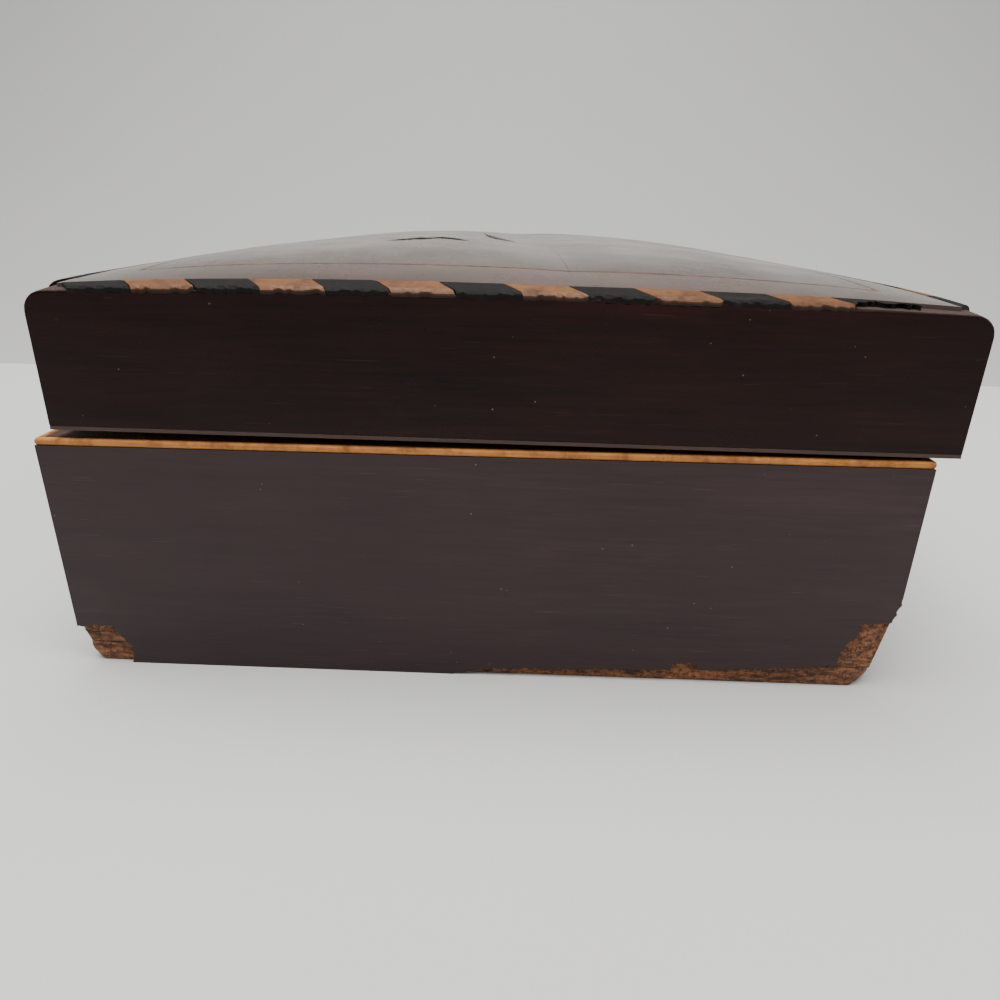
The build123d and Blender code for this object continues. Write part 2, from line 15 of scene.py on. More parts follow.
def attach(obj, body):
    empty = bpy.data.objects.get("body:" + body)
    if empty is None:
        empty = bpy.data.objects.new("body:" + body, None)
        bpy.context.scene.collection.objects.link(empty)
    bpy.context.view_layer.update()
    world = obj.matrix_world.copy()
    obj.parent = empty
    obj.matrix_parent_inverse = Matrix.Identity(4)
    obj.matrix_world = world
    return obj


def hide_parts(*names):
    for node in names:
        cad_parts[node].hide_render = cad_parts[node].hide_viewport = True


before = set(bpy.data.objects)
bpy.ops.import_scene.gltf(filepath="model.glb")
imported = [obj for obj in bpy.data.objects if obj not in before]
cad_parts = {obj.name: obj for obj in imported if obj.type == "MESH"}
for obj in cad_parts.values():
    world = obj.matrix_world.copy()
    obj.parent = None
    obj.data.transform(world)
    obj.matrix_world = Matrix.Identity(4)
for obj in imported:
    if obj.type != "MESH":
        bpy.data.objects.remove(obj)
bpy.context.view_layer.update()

bl_info = {
    "name": "Keepsake Box",
    "version": (1, 0, 0),
    "blender": (4, 5, 0),
    "location": "3D View > Sidebar > Keepsake Box",
    "description": "Builds the veneered pieces, banding, fittings and finishes of a keepsake box",
    "category": "Object",
}

MM = 0.001
SIDES = ("front", "back", "right_end", "left_end")


def tint(red, green, blue):
    """A screen colour, given in 0 to 255, in the linear light that the shader wants."""
    linear = []
    for part in (red, green, blue):
        part /= 255
        linear.append(part / 12.92 if part <= 0.04045 else ((part + 0.055) / 1.055) ** 2.4)
    return tuple(linear)


# Sizes and colours that a user would change


def length(name, description, default):
    """A length in metres for the sidebar, given in millimetres."""
    return FloatProperty(name=name, description=description, default=default * MM, unit="LENGTH", precision=5)


def number(name, description, default, **more):
    """A plain number for the sidebar."""
    return FloatProperty(name=name, description=description, default=default, **more)


def colour(name, description, default):
    """A colour for the sidebar, given in 0 to 255."""
    shade = tint(*default)
    return FloatVectorProperty(name=name, description=description, default=shade, subtype="COLOR", size=3)


class KeepsakeBoxSizes(bpy.types.PropertyGroup):
    """Sizes of the carcass and of the way the lid hangs."""

    width: length("Width", "Across the box, from lock side to hinge side", 240)
    length: length("Length", "Along the box, from end to end", 330)
    base_height: length("Base height", "Height of the base", 71)
    lid_height: length("Lid height", "Height of the lid at its corners", 37)
    ceiling: length("Ceiling", "Height of the lid's ceiling above its lower edge", 29.8)
    veneer: length("Veneer", "Thickness of the veneers", 1.2)
    rim_facing: length("Rim facing", "Thickness of the facing on the lid's rim", 1.2)
    stringing: length("Stringing", "Width of the pale line round the rim", 2)
    lid_shift: length("Lid shift", "How far the lid has slipped towards the hinges", 5.4)
    seam_gap: length("Seam gap", "Gap between lid and base at the hinges", 1)
    lid_lean: number("Lid lean", "How far the front is held open, in degrees", 0.355)


class KeepsakeLidSizes(bpy.types.PropertyGroup):
    """Shape of the lid's top and of its inlay."""

    rise: length("Rise", "Rise of the crown above the corners", 12)
    peak_x: length("Peak", "Where the crown is highest, across the box", -15)
    edge_bow: length("Edge bow", "Rise of the lid's edges in their middle", 2)
    power_across: number("Squareness across", "How square the shoulders are", 2.4)
    power_along: number("Squareness along", "How square the ends are", 5)
    valley_depth: length("Valley depth", "Depth of the valley along the top boards' joint", 1.2)
    valley_width: length("Valley width", "Half the width of that valley", 12)
    valley_near: length("Valley, right end", "Where the valley starts, across the box", 19)
    valley_far: length("Valley, left end", "Where the valley ends, across the box", -6)
    banding_width: length("Banding width", "Width of the slanted edge banding", 6)
    banding_piece: length("Banding piece", "Length of one piece of banding", 16.2)
    banding_slant: length("Banding slant", "How far a piece leans along its width", 5)
    banding_start: length("Banding start", "Where the first whole piece starts", 12.2)
    banding_chew: length("Banding wear", "How deep the banding's outer edge is chewed", 0.4)
    banding_lost: length("Lost banding", "How much banding is broken at the right end, from the hinges", 34)
    border_inset: length("Border inset", "Inner edge of the mitred border", 20)
    line_width: length("Line width", "Width of the thin line inside the border", 1.2)
    worn_corner: length("Worn corner", "Roundness of the worn corners at the right end", 5)
    worn_edge: length("Worn edge", "Roundness of the top's edges elsewhere", 1)
    cell: length("Cell", "Spacing of the mesh on the lid's top", 2.4)


class KeepsakeFinishes(bpy.types.PropertyGroup):
    """Colours of the woods, papers and metals."""

    lid_dark: colour("Lid veneer, dark", "Darkest streaks of the lid's veneer", (14, 6, 6))
    lid_warm: colour("Lid veneer, warm", "Warmest streaks of the lid's veneer", (46, 20, 17))
    base_dark: colour("Base veneer, dark", "Darkest streaks of the base's veneer", (43, 31, 34))
    base_warm: colour("Base veneer, warm", "Warmest streaks of the base's veneer", (66, 46, 47))
    top_dark: colour("Top veneer, dark", "Darkest streaks of the lid's top", (46, 30, 27))
    top_warm: colour("Top veneer, warm", "Warmest streaks of the lid's top", (92, 66, 56))
    dust: colour("Dust", "Small pale specks on the veneers", (120, 110, 104))
    boxwood: colour("Boxwood", "Pale stringing round the rim", (200, 132, 66))
    boxwood_worn: colour("Boxwood, worn", "Dirty places on the stringing", (120, 68, 32))
    banding_pale: colour("Pale banding", "Pale pieces of the banding", (120, 76, 40))
    banding_worn: colour("Pale banding, worn", "Dirty places on the pale pieces", (62, 34, 20))
    # Dark colour for grime and painted shade on the banding's outer face
    grime_and_shade: colour("Grime", "Dirt along the banding's outer face", (30, 22, 19))
    thin_line: colour("Thin line", "Narrow line between the border and the field", (104, 68, 46))
    thin_line_dark: colour("Thin line, dark", "Dirty places on the narrow line", (50, 32, 24))
    ebony: colour("Ebony", "Dark pieces of the banding", (24, 22, 22))
    ebony_worn: colour("Ebony, worn", "Greyed places on the dark pieces", (64, 56, 52))
    groundwork: colour("Groundwork", "Carcass wood, where the veneer is lost", (176, 112, 70))
    groundwork_dark: colour("Groundwork, dark", "Grain and dirt of the carcass wood", (58, 32, 20))
    groundwork_high: colour("Groundwork, high up", "Cleaner carcass wood above the foot", (72, 46, 34))
    rim: colour("Rim facing", "Reddish facing of the lid's rim", (70, 42, 32))
    plank: colour("Top plank", "Bare wood along the lid's top edges", (64, 44, 36))
    plank_dark: colour("Top plank, dark", "Dirt on that bare wood", (30, 24, 22))
    paper: colour("Lining paper", "Paper that lines the box", (196, 178, 148))
    paper_stain: colour("Lining paper, stained", "Broad stains on the paper", (150, 122, 86))
    foxing: colour("Foxing", "Small brown spots on the paper", (122, 84, 50))
    brass: colour("Brass", "Hinges and lock", (158, 122, 66))
    steel: colour("Steel", "Screws and pins", (112, 108, 104))


class KeepsakeScrewSizes(bpy.types.PropertyGroup):
    """Sizes of the screws."""

    head: length("Head radius", "Radius of a hinge screw's head", 2.2)
    shank: length("Shank radius", "Radius of a hinge screw's shank", 1.1)
    screw_length: length("Length", "Length of a hinge screw", 8)
    small_head: length("Small head radius", "Radius of a lock screw's head", 1.5)
    small_shank: length("Small shank radius", "Radius of a lock screw's shank", 0.8)
    small_length: length("Small length", "Length of a lock screw", 5)
    facets: IntProperty(
        name="Facets", description="Sides of a screw's round parts", default=32, min=12, max=64,
    )


class KeepsakeStage(bpy.types.PropertyGroup):
    """Camera, lights, floor and backdrop."""

    lens: number("Lens", "Focal length of the camera, in millimetres", 25.51)
    camera_place: FloatVectorProperty(
        name="Camera", description="Where the camera stands", size=3, subtype="XYZ", unit="LENGTH",
        default=(12.18 * MM, -343.61 * MM, 128.33 * MM),
    )
    camera_turn: FloatVectorProperty(
        name="Camera turn", description="How far the camera is raised, rolled and turned", size=3,
        subtype="EULER", default=(radians(68.22923), radians(-0.89646), radians(2.22426)),
    )
    floor_colour: colour("Floor", "Colour of the pale floor", (206, 206, 203))
    wall_colour: colour("Backdrop", "Colour of the grey backdrop", (176, 176, 172))
    floor_end: length("Floor end", "Where the pale floor ends behind the box", 272)
    wall_y: length("Backdrop distance", "How far the backdrop stands behind the box", 1500)
    reach: length("Reach", "Half the width of the floor and of the backdrop", 3000)
    top_light: number("Top light", "Power of the overhead light", 52, unit="POWER")
    side_light: number("Side light", "Power of the light at the right", 9, unit="POWER")
    sky: number("Sky", "Strength of the even light", 1.05)


GROUPS = {
    "keepsake_box": KeepsakeBoxSizes,
    "keepsake_lid": KeepsakeLidSizes,
    "keepsake_finishes": KeepsakeFinishes,
    "keepsake_screws": KeepsakeScrewSizes,
    "keepsake_stage": KeepsakeStage,
}


def sizes():
    """Sizes of the box."""
    return bpy.context.scene.keepsake_box


def lid_sizes():
    """Sizes of the lid's top."""
    return bpy.context.scene.keepsake_lid


def finishes():
    """Colours of the finishes."""
    return bpy.context.scene.keepsake_finishes


# Finishes

# The Mix node's sockets for two colours
MIX_AMOUNT, MIX_FIRST, MIX_SECOND, MIX_RESULT = 0, 6, 7, 2


class Finish:
    """A material while it is put together."""

    def __init__(self, name):
        self.material = bpy.data.materials.new(name + "_finish")
        self.material.use_nodes = True
        self.tree = self.material.node_tree
        self.shader = self.tree.nodes["Principled BSDF"]
        self.place = self.tree.nodes.new("ShaderNodeTexCoord").outputs["Object"]

    def feed(self, value, socket):
        """Wire another socket to this one, or set a number, a vector or a colour, which has a fourth part."""
        if isinstance(value, bpy.types.NodeSocket):
            self.tree.links.new(value, socket)
        elif isinstance(value, (int, float)):
            socket.default_value = value
        else:
            socket.default_value = (*value, 1)[:len(socket.default_value)]

    def node(self, kind, **inputs):
        """Add a node and feed its inputs by their names."""
        node = self.tree.nodes.new(kind)
        for name, value in inputs.items():
            self.feed(value, node.inputs[name])
        return node

    def stretch(self, scale, turn=(0, 0, 0)):
        """The piece's own coordinates, stretched along each axis."""
        return self.node("ShaderNodeMapping", Vector=self.place, Rotation=turn, Scale=scale).outputs["Vector"]

    def height(self):
        """How high a point of the piece lies."""
        return self.node("ShaderNodeSeparateXYZ", Vector=self.place).outputs["Z"]

    def noise(self, place, scale, detail=4.0, rough=0.55, twist=0.0):
        """A cloudy pattern from 0 to 1."""
        inputs = {"Vector": place, "Scale": scale, "Detail": detail, "Roughness": rough, "Distortion": twist}
        return self.node("ShaderNodeTexNoise", **inputs).outputs["Fac"]

    def spots(self, scale):
        """Distance to scattered points."""
        return self.node("ShaderNodeTexVoronoi", Vector=self.place, Scale=scale).outputs["Distance"]

    def ramp(self, value, *stops):
        """A value turned into greys, each given with its place from 0 to 1."""
        node = self.node("ShaderNodeValToRGB", Fac=value)
        for element, (place, shade) in zip(node.color_ramp.elements, stops):
            element.position = place
            element.color = (shade, shade, shade, 1)
        return node.outputs["Color"]

    def mix(self, amount, first, second, blend="MIX"):
        """Two colours mixed by an amount, each a socket or a plain value."""
        node = self.tree.nodes.new("ShaderNodeMix")
        node.data_type = "RGBA"
        node.blend_type = blend
        for i, value in ((MIX_AMOUNT, amount), (MIX_FIRST, first), (MIX_SECOND, second)):
            self.feed(value, node.inputs[i])
        return node.outputs[MIX_RESULT]

    def faint(self, pattern, most):
        """A pattern from 0 to 1, weakened until it reaches no further than a share."""
        return self.mix(pattern, (0, 0, 0), (most, most, most))

    def grime_and_shade(self, base):
        """A colour darkened where the piece's own vertices are marked with grime and painted shade."""
        mark = self.tree.nodes.new("ShaderNodeAttribute")
        mark.attribute_name = "grime_and_shade"
        return self.mix(mark.outputs["Fac"], base, finishes().grime_and_shade)

    def bump(self, pattern, strength, height, under=None):
        """Small relief, its height in millimetres, on top of any relief given before."""
        node = self.node("ShaderNodeBump", Height=pattern, Strength=strength, Distance=height * MM)
        if under is not None:
            self.feed(under, node.inputs["Normal"])
        return node.outputs["Normal"]

    def done(self, base, rough, normal=None, **plain):
        """Wire the colour, roughness and relief, and set the plain values of the shader."""
        self.feed(base, self.shader.inputs["Base Color"])
        self.feed(rough, self.shader.inputs["Roughness"])
        if normal is not None:
            self.feed(normal, self.shader.inputs["Normal"])
        for name, value in plain.items():
            self.shader.inputs[name.replace("_", " ")].default_value = value
        return self.material


def along(axis, stretch):
    """Scale that draws a pattern out along one axis."""
    return tuple(stretch if i == "xyz".index(axis) else 1 for i in range(3))


def polished_veneer(name, axis, dark, warm, dullness, relief=1.0, polish=0.0, shine=0.5):
    """Old polished rosewood or mahogany veneer, with its grain along an axis."""
    made = Finish(name)
    fibre = made.noise(made.stretch(along(axis, 0.045)), scale=900, detail=6, rough=0.62, twist=0.4)
    figure = made.noise(made.stretch(along(axis, 0.12)), scale=70, detail=5, rough=0.6, twist=1.2)
    cloud = made.noise(made.stretch(along(axis, 0.45)), scale=14, detail=3)
    fine = made.ramp(fibre, (0.3, 0.0), (0.72, 1.0))
    broad = made.ramp(figure, (0.3, 0.0), (0.7, 1.0))
    base = made.mix(made.mix(0.45, fine, broad), dark, warm)
    base = made.mix(made.ramp(cloud, (0.42, 0.5), (0.64, 0.0)), base, dark)
    scratch = made.noise(made.stretch(along(axis, 0.03), (0.25, 0.35, 0.3)), scale=2600, detail=2, rough=0.4)
    scratched = made.ramp(scratch, (0.71, 0.0), (0.75, 1.0))
    pale = tuple(min(1.0, part * 2.5 + 0.02) for part in warm)
    base = made.mix(made.faint(scratched, 0.2), base, pale)
    dust = made.ramp(made.spots(240), (0.03, 1.0), (0.06, 0.0))
    sparse = made.ramp(made.noise(made.place, scale=120, detail=2), (0.52, 0.0), (0.6, 1.0))
    specks = made.mix(1.0, dust, sparse, "MULTIPLY")
    base = made.mix(specks, base, finishes().dust)
    wear = made.noise(made.place, scale=32, detail=6, rough=0.65)
    rough = made.ramp(wear, (0.3, dullness - 0.08), (0.7, dullness + 0.12))
    rough = made.mix(specks, rough, (0.9, 0.9, 0.9))
    swells = made.noise(made.place, scale=26, detail=2)
    normal = made.bump(fibre, 0.25 * relief, height=0.06)
    normal = made.bump(swells, 0.35 * relief, height=0.6, under=normal)
    normal = made.bump(scratched, 0.3, height=0.05, under=normal)
    return made.done(base, rough, normal, Coat_Weight=polish, Coat_Roughness=0.12, Specular_IOR_Level=shine)


def pale_wood(name, clean, dirty):
    """Pale inlay wood, dirty in its grain."""
    made = Finish(name)
    fibre = made.noise(made.stretch((0.12, 0.12, 1)), scale=700, detail=5, rough=0.6)
    dirt = made.noise(made.place, scale=210, detail=6, rough=0.72)
    base = made.mix(made.ramp(fibre, (0.35, 0.0), (0.75, 0.55)), clean, dirty)
    base = made.mix(made.ramp(dirt, (0.46, 0.0), (0.68, 0.85)), base, dirty)
    rough = made.ramp(dirt, (0.3, 0.4), (0.7, 0.65))
    # Places marked on the banding's outer face are darkened with grime and painted shade
    return made.done(made.grime_and_shade(base), rough, made.bump(fibre, 0.4, height=0.08), Specular_IOR_Level=0.25)


def ebony_finish(name, black, greyed):
    """Black pieces of the banding, greyed by wear."""
    made = Finish(name)
    fibre = made.noise(made.stretch((0.2, 0.2, 1)), scale=800, detail=5, rough=0.6)
    scuff = made.noise(made.place, scale=120, detail=6, rough=0.7)
    base = made.mix(made.ramp(scuff, (0.52, 0.0), (0.75, 0.45)), black, greyed)
    rough = made.ramp(scuff, (0.3, 0.55), (0.7, 0.8))
    normal = made.bump(scuff, 0.5, height=0.3, under=made.bump(fibre, 0.3, height=0.06))
    return made.done(base, rough, normal, Specular_IOR_Level=0.1)


def bare_wood(name, axis, clean, dirty):
    """Bare carcass wood with glue, dirt and worm-rough grain near the foot, and calmer higher up."""
    made = Finish(name)
    fibre = made.noise(made.stretch(along(axis, 0.2)), scale=760, detail=6, rough=0.7, twist=0.4)
    dirt = made.noise(made.place, scale=620, detail=8, rough=0.8)
    base = made.mix(made.ramp(fibre, (0.38, 0.0), (0.6, 1.0)), dirty, clean)
    base = made.mix(made.ramp(dirt, (0.47, 0.0), (0.58, 0.85)), base, dirty)
    high_up = made.ramp(made.height(), (0.03, 0.0), (0.05, 0.8))
    base = made.mix(high_up, base, finishes().groundwork_high)
    pits = made.ramp(dirt, (0.42, 0.0), (0.6, 1.0))
    normal = made.bump(pits, 0.7, height=0.4, under=made.bump(fibre, 0.7, height=0.3))
    return made.done(base, made.ramp(dirt, (0.3, 0.62), (0.7, 0.85)), normal)


def rim_finish(name, reddish):
    """Reddish facing strips on the lid's rim."""
    made = Finish(name)
    fibre = made.noise(made.stretch((0.1, 0.1, 1)), scale=600, detail=5, rough=0.6)
    dark = tuple(part * 0.45 for part in reddish)
    base = made.mix(made.ramp(fibre, (0.35, 0.0), (0.7, 1.0)), dark, reddish)
    return made.done(base, made.ramp(fibre, (0.3, 0.4), (0.7, 0.6)), made.bump(fibre, 0.4, height=0.08))


def paper_finish(name, clean, stained, foxed):
    """Aged lining paper with foxing."""
    made = Finish(name)
    laid = made.noise(made.place, scale=1500, detail=4, rough=0.7)
    stain = made.noise(made.place, scale=18, detail=6, rough=0.65)
    fox = made.ramp(made.spots(70), (0.04, 1.0), (0.16, 0.0))
    base = made.mix(made.ramp(stain, (0.4, 0.0), (0.75, 0.6)), clean, stained)
    base = made.mix(made.faint(fox, 0.45), base, foxed)
    return made.done(base, made.ramp(laid, (0.2, 0.85), (0.8, 0.95)), made.bump(laid, 0.4, height=0.04))


def metal_finish(name, shade, smoothest, roughest, tarnish):
    """Old brass or steel with tarnish and fine scratches."""
    made = Finish(name)
    cloud = made.noise(made.place, scale=90, detail=6, rough=0.7)
    brushed = made.noise(made.stretch((1, 0.05, 1)), scale=1400, detail=3, rough=0.5)
    dark = tuple(part * 0.22 for part in shade)
    base = made.mix(made.ramp(cloud, (0.45, 0.0), (0.7, tarnish)), shade, dark)
    rough = made.ramp(cloud, (0.3, smoothest), (0.7, roughest))
    return made.done(base, rough, made.bump(brushed, 0.15, height=0.03), Metallic=1.0)


# Finishes made so far, by their names
made_finishes = {}


def finish(name):
    """A finish, made the first time that it is asked for. Some names end in the direction of the grain."""
    if name in made_finishes:
        return made_finishes[name]
    kind, _, direction = name.rpartition("_")
    axis = {"across": "x", "lengthwise": "y"}.get(direction)
    shades = finishes()
    makers = {
        "lid_veneer": lambda: polished_veneer(
            name, axis, shades.lid_dark, shades.lid_warm, dullness=0.3, shine=0.14,
        ),
        "base_veneer": lambda: polished_veneer(
            name, axis, shades.base_dark, shades.base_warm, dullness=0.36, shine=0.25,
        ),
        "top_veneer": lambda: polished_veneer(
            name, axis, shades.top_dark, shades.top_warm, dullness=0.22, relief=0.5, polish=0.3,
        ),
        "boxwood": lambda: pale_wood(name, shades.boxwood, shades.boxwood_worn),
        "boxwood_banding": lambda: pale_wood(name, shades.banding_pale, shades.banding_worn),
        "boxwood_line": lambda: pale_wood(name, shades.thin_line, shades.thin_line_dark),
        "ebony": lambda: ebony_finish(name, shades.ebony, shades.ebony_worn),
        "groundwork": lambda: bare_wood(name, axis, shades.groundwork, shades.groundwork_dark),
        "groundwork_of_top": lambda: bare_wood(name, "y", shades.plank, shades.plank_dark),
        "rim_wood": lambda: rim_finish(name, shades.rim),
        "lining_paper": lambda: paper_finish(name, shades.paper, shades.paper_stain, shades.foxing),
        "brass": lambda: metal_finish(name, shades.brass, smoothest=0.28, roughest=0.5, tarnish=0.75),
        "steel": lambda: metal_finish(name, shades.steel, smoothest=0.35, roughest=0.6, tarnish=0.6),
    }
    made_finishes[name] = makers[kind if axis else name]()
    return made_finishes[name]


# Shape of the lid

# How far from the right end the wear of its corners fades, how much less the ends' edges are worn,
# and how far down the lid's sides the wear reaches
CORNER_FADE = 16 * MM
END_WEAR = 0.7
WEAR_DEPTH = 12 * MM

# Swells of the old veneer: waves per metre across and along the box, a place in the noise, and a height
BROAD_SWELL = (22, 16, 3.1, 0.16 * MM)
FINE_SWELL = (80, 34, 7.7, 0.05 * MM)


def hung():
    """Matrix that hangs the lid where it rests, from its own frame."""
    box = sizes()
    axis = Vector((box.width / 2 + box.lid_shift, 0, box.base_height + box.seam_gap / 2))
    turn = Matrix.Rotation(radians(box.lid_lean), 4, "Y")
    settle = Matrix.Translation((box.lid_shift, 0, box.base_height + box.seam_gap))
    return Matrix.Translation(axis) @ turn @ Matrix.Translation(-axis) @ settle


def valley_at(y):
    """Where the joint of the two top boards lies, across the box."""
    lid = lid_sizes()
    share = y / sizes().length + 0.5
    return lid.valley_near + share * (lid.valley_far - lid.valley_near)


def crown(x, y):
    """Height of the lid's top above its corners."""
    lid, box = lid_sizes(), sizes()
    edge = lid.edge_bow / lid.rise
    from_peak = x - lid.peak_x
    reach = box.width / 2 - lid.peak_x if from_peak > 0 else box.width / 2 + lid.peak_x
    across = 1 - min(1, abs(from_peak / reach)) ** lid.power_across
    lengthwise = 1 - min(1, abs(2 * y / box.length)) ** lid.power_along
    swell = (edge + (1 - edge) * across) * (edge + (1 - edge) * lengthwise) - edge * edge
    off_valley = (x - valley_at(y)) / lid.valley_width
    return lid.rise * swell - lid.valley_depth * lengthwise / (1 + off_valley**2)


def wear_drop(x, y):
    """How much the lid's worn edges and corners have lost in height."""
    lid, box = lid_sizes(), sizes()
    near = exp(-max(0, y + box.length / 2) / CORNER_FADE)
    round_x = lid.worn_edge + (lid.worn_corner - lid.worn_edge) * near
    round_y = lid.worn_edge * END_WEAR
    drop = 0
    for place, half, radius in ((x, box.width / 2, round_x), (y, box.length / 2, round_y)):
        past = min(radius, max(0, abs(place) - (half - radius)))
        drop += radius - sqrt(max(0, radius**2 - past**2))
    return drop


def lift(x, y):
    """Small swells of the old veneer: it never rises above the crown's own height."""
    rise = 0
    for across, lengthwise, start, height in (BROAD_SWELL, FINE_SWELL):
        rise += (noise.noise(Vector((x * across, y * lengthwise, start))) - 1) * height
    return rise


def worn(point):
    """A point of the lid moved by the wear of its edges, less the deeper it lies."""
    surface = sizes().lid_height + crown(point.x, point.y)
    share = max(0, min(1, 1 - (surface - point.z) / WEAR_DEPTH))
    return Vector((point.x, point.y, point.z - wear_drop(point.x, point.y) * share))


# Building and finishing pieces

# Angles in degrees past which shading breaks, and up to which two faces count as one
SHARP_ANGLE = 35
FLAT_ANGLE = 0.6

# Distances within which points are one, and within which a point lies on a cut
SAME_POINT = 0.002 * MM
ON_CUT = 0.0001 * MM

# Places of the finer rows beside a sheet's edges, in millimetres
EDGE_ROWS = (0.25, 0.6, 1.1, 1.8, 2.7, 3.8, 5)

# What a count of cells gains before it is cut to a whole number, so that it rounds up but a rounding
# error adds no cell, and the digits that a place keeps
ROUND_UP = 0.999
PLACE_DIGITS = 7

# How far the top veneers reach into the boards below
UNDERLAP = 0.2 * MM


def in_scene(name, data):
    """A new object in the scene that shows a mesh, a light or a camera."""
    obj = bpy.data.objects.new(name, data)
    bpy.context.scene.collection.objects.link(obj)
    return obj


def shown_mesh(obj):
    """The plain mesh that an object's modifiers make."""
    bpy.context.view_layer.update()
    return bpy.data.meshes.new_from_object(obj.evaluated_get(bpy.context.evaluated_depsgraph_get()))


def keep(name, bm, material, body, nodes=(), hang=False):
    """Turn a bmesh into a finished piece that rides on a body and stands for CAD nodes.

    One that is to hang still lies in the lid's own frame, and is worn before it is hung.
    """
    if hang:
        wear_down(bm)
        bm.transform(hung())
    mesh = bpy.data.meshes.new(name)
    bmesh.ops.recalc_face_normals(bm, faces=bm.faces)
    bm.to_mesh(mesh)
    bm.free()
    mesh.materials.append(finish(material))
    mesh.shade_smooth()
    mesh.set_sharp_from_angle(angle=radians(SHARP_ANGLE))
    obj = in_scene(name, mesh)
    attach(obj, body)
    if nodes:
        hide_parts(*nodes)
    return obj


def wear_down(bm):
    """Wear the edges of a piece that lies in the lid's own frame."""
    for vert in bm.verts:
        vert.co = worn(vert.co)


def bevelled(obj, width, segments=2, angle=30):
    """Ease a piece's sharp edges by a width in millimetres."""
    bevel = obj.modifiers.new("eased edges", "BEVEL")
    bevel.width = width * MM
    bevel.segments = segments
    bevel.limit_method = "ANGLE"
    bevel.angle_limit = radians(angle)
    flat = obj.modifiers.new("flat faces", "WEIGHTED_NORMAL")
    flat.keep_sharp = True


def merged(node):
    """A merged copy of a CAD node's mesh, with its flat faces whole."""
    bm = bmesh.new()
    bm.from_mesh(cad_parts[node].data)
    bmesh.ops.remove_doubles(bm, verts=bm.verts, dist=SAME_POINT)
    bmesh.ops.dissolve_limit(bm, angle_limit=radians(FLAT_ANGLE), verts=bm.verts, edges=bm.edges)
    return bm


def cut_off(bm, place, outward, closed=True):
    """Cut off what lies beyond a plane, and close the solid again."""
    whole = bm.verts[:] + bm.edges[:] + bm.faces[:]
    bmesh.ops.bisect_plane(bm, geom=whole, dist=ON_CUT, plane_co=place, plane_no=outward, clear_outer=True)
    open_edges = [edge for edge in bm.edges if edge.is_boundary]
    if closed and open_edges:
        bmesh.ops.holes_fill(bm, edges=open_edges)


def softened(node, material, body, ease, wear=False, bruises=()):
    """A CAD node's shape with its edges eased, worn or bruised, and its finish.

    The ease is in millimetres. A bruise is a corner, and how far its cut runs from there along each axis.
    """
    bm = merged(node)
    for corner, legs in bruises:
        place = Vector(corner) * MM + Vector((legs[0] * MM, 0, 0))
        cut_off(bm, place, Vector([-1 / leg for leg in legs]))
    if wear:
        bm.transform(hung().inverted())
        wear_down(bm)
        bm.transform(hung())
    bevelled(keep(node + "_piece", bm, material, body, (node,)), ease)


def grain(side):
    """The direction of the grain on a side."""
    return "across" if side.endswith("end") else "lengthwise"


def spread(low, high, cell, steps):
    """Places from low to high no further apart than a cell, with extra ones near both ends."""
    count = max(1, int((high - low) / cell + ROUND_UP))
    places = {round(low + (high - low) * i / count, PLACE_DIGITS) for i in range(count + 1)}
    for step in steps:
        if step < (high - low) / 2:
            places |= {round(low + step, PLACE_DIGITS), round(high - step, PLACE_DIGITS)}
    return sorted(places)


def slab(outline, top, bottom, cell, fine_edges=True):
    """A sheet over a convex plan outline, between two heights given as functions of x and y."""
    steps = [row * MM for row in EDGE_ROWS] if fine_edges else []
    columns, rows = [spread(min(places), max(places), cell, steps) for places in zip(*outline)]
    bm = bmesh.new()
    grid = [[bm.verts.new((x, y, 0)) for x in columns] for y in rows]
    for lower, upper in zip(grid, grid[1:]):
        for i in range(len(columns) - 1):
            bm.faces.new((lower[i], lower[i + 1], upper[i + 1], upper[i]))
    for (x0, y0), (x1, y1) in zip(outline, outline[1:] + outline[:1]):
        cut_off(bm, (x0, y0, 0), Vector((y1 - y0, x0 - x1, 0)), closed=False)
    grown = bmesh.ops.extrude_face_region(bm, geom=bm.faces[:])["geom"]
    above = {vert for vert in grown if isinstance(vert, bmesh.types.BMVert)}
    for vert in bm.verts:
        vert.co.z = (top if vert in above else bottom)(vert.co.x, vert.co.y)
    return bm


def mitred_outline(side, outer, inner):
    """Plan of one side of a mitred frame, by its outer and inner inset, turning anticlockwise."""
    box = sizes()
    ox, oy = box.width / 2 - outer, box.length / 2 - outer
    ix, iy = box.width / 2 - inner, box.length / 2 - inner
    return {
        "front": [(-ox, oy), (-ox, -oy), (-ix, -iy), (-ix, iy)],
        "back": [(ox, -oy), (ox, oy), (ix, iy), (ix, -iy)],
        "right_end": [(-ox, -oy), (ox, -oy), (ix, -iy), (-ix, -iy)],
        "left_end": [(ox, oy), (-ox, oy), (-ix, iy), (ix, iy)],
    }[side]


def skin_top(x, y):
    """Upper face of the lid's top veneers."""
    return sizes().lid_height + crown(x, y) + lift(x, y)


def board_top(x, y):
    """Upper face of the lid's top boards."""
    return sizes().lid_height + crown(x, y) - sizes().veneer


def skin_bottom(x, y):
    """Lower face of the lid's top veneers."""
    return board_top(x, y) - UNDERLAP


def rim_top(x, y):
    """Upper face of the facing on the lid's rim."""
    return sizes().rim_facing


def lid_ceiling(x, y):
    """Lower face of the lid's top boards."""
    return sizes().ceiling


# Splits in the lid's front leaf of field veneer, in millimetres: how far they open, and their points,
# across the box and from its right end
CURLED_SPLIT = (0.5, [(-41, 70), (-36, 80), (-31, 94), (-26, 101), (-20, 92), (-13, 73)])
LONG_SPLIT = (0.4, [(-16, 190), (-11, 152), (-5, 116), (2, 84)])
SPLITS = (CURLED_SPLIT, LONG_SPLIT)

# How open a split is at its tips, as a share, and how low and high its cutter reaches in the lid's frame
SPLIT_TIP = 0.12
CUTTER_HEIGHTS = (20 * MM, 70 * MM)

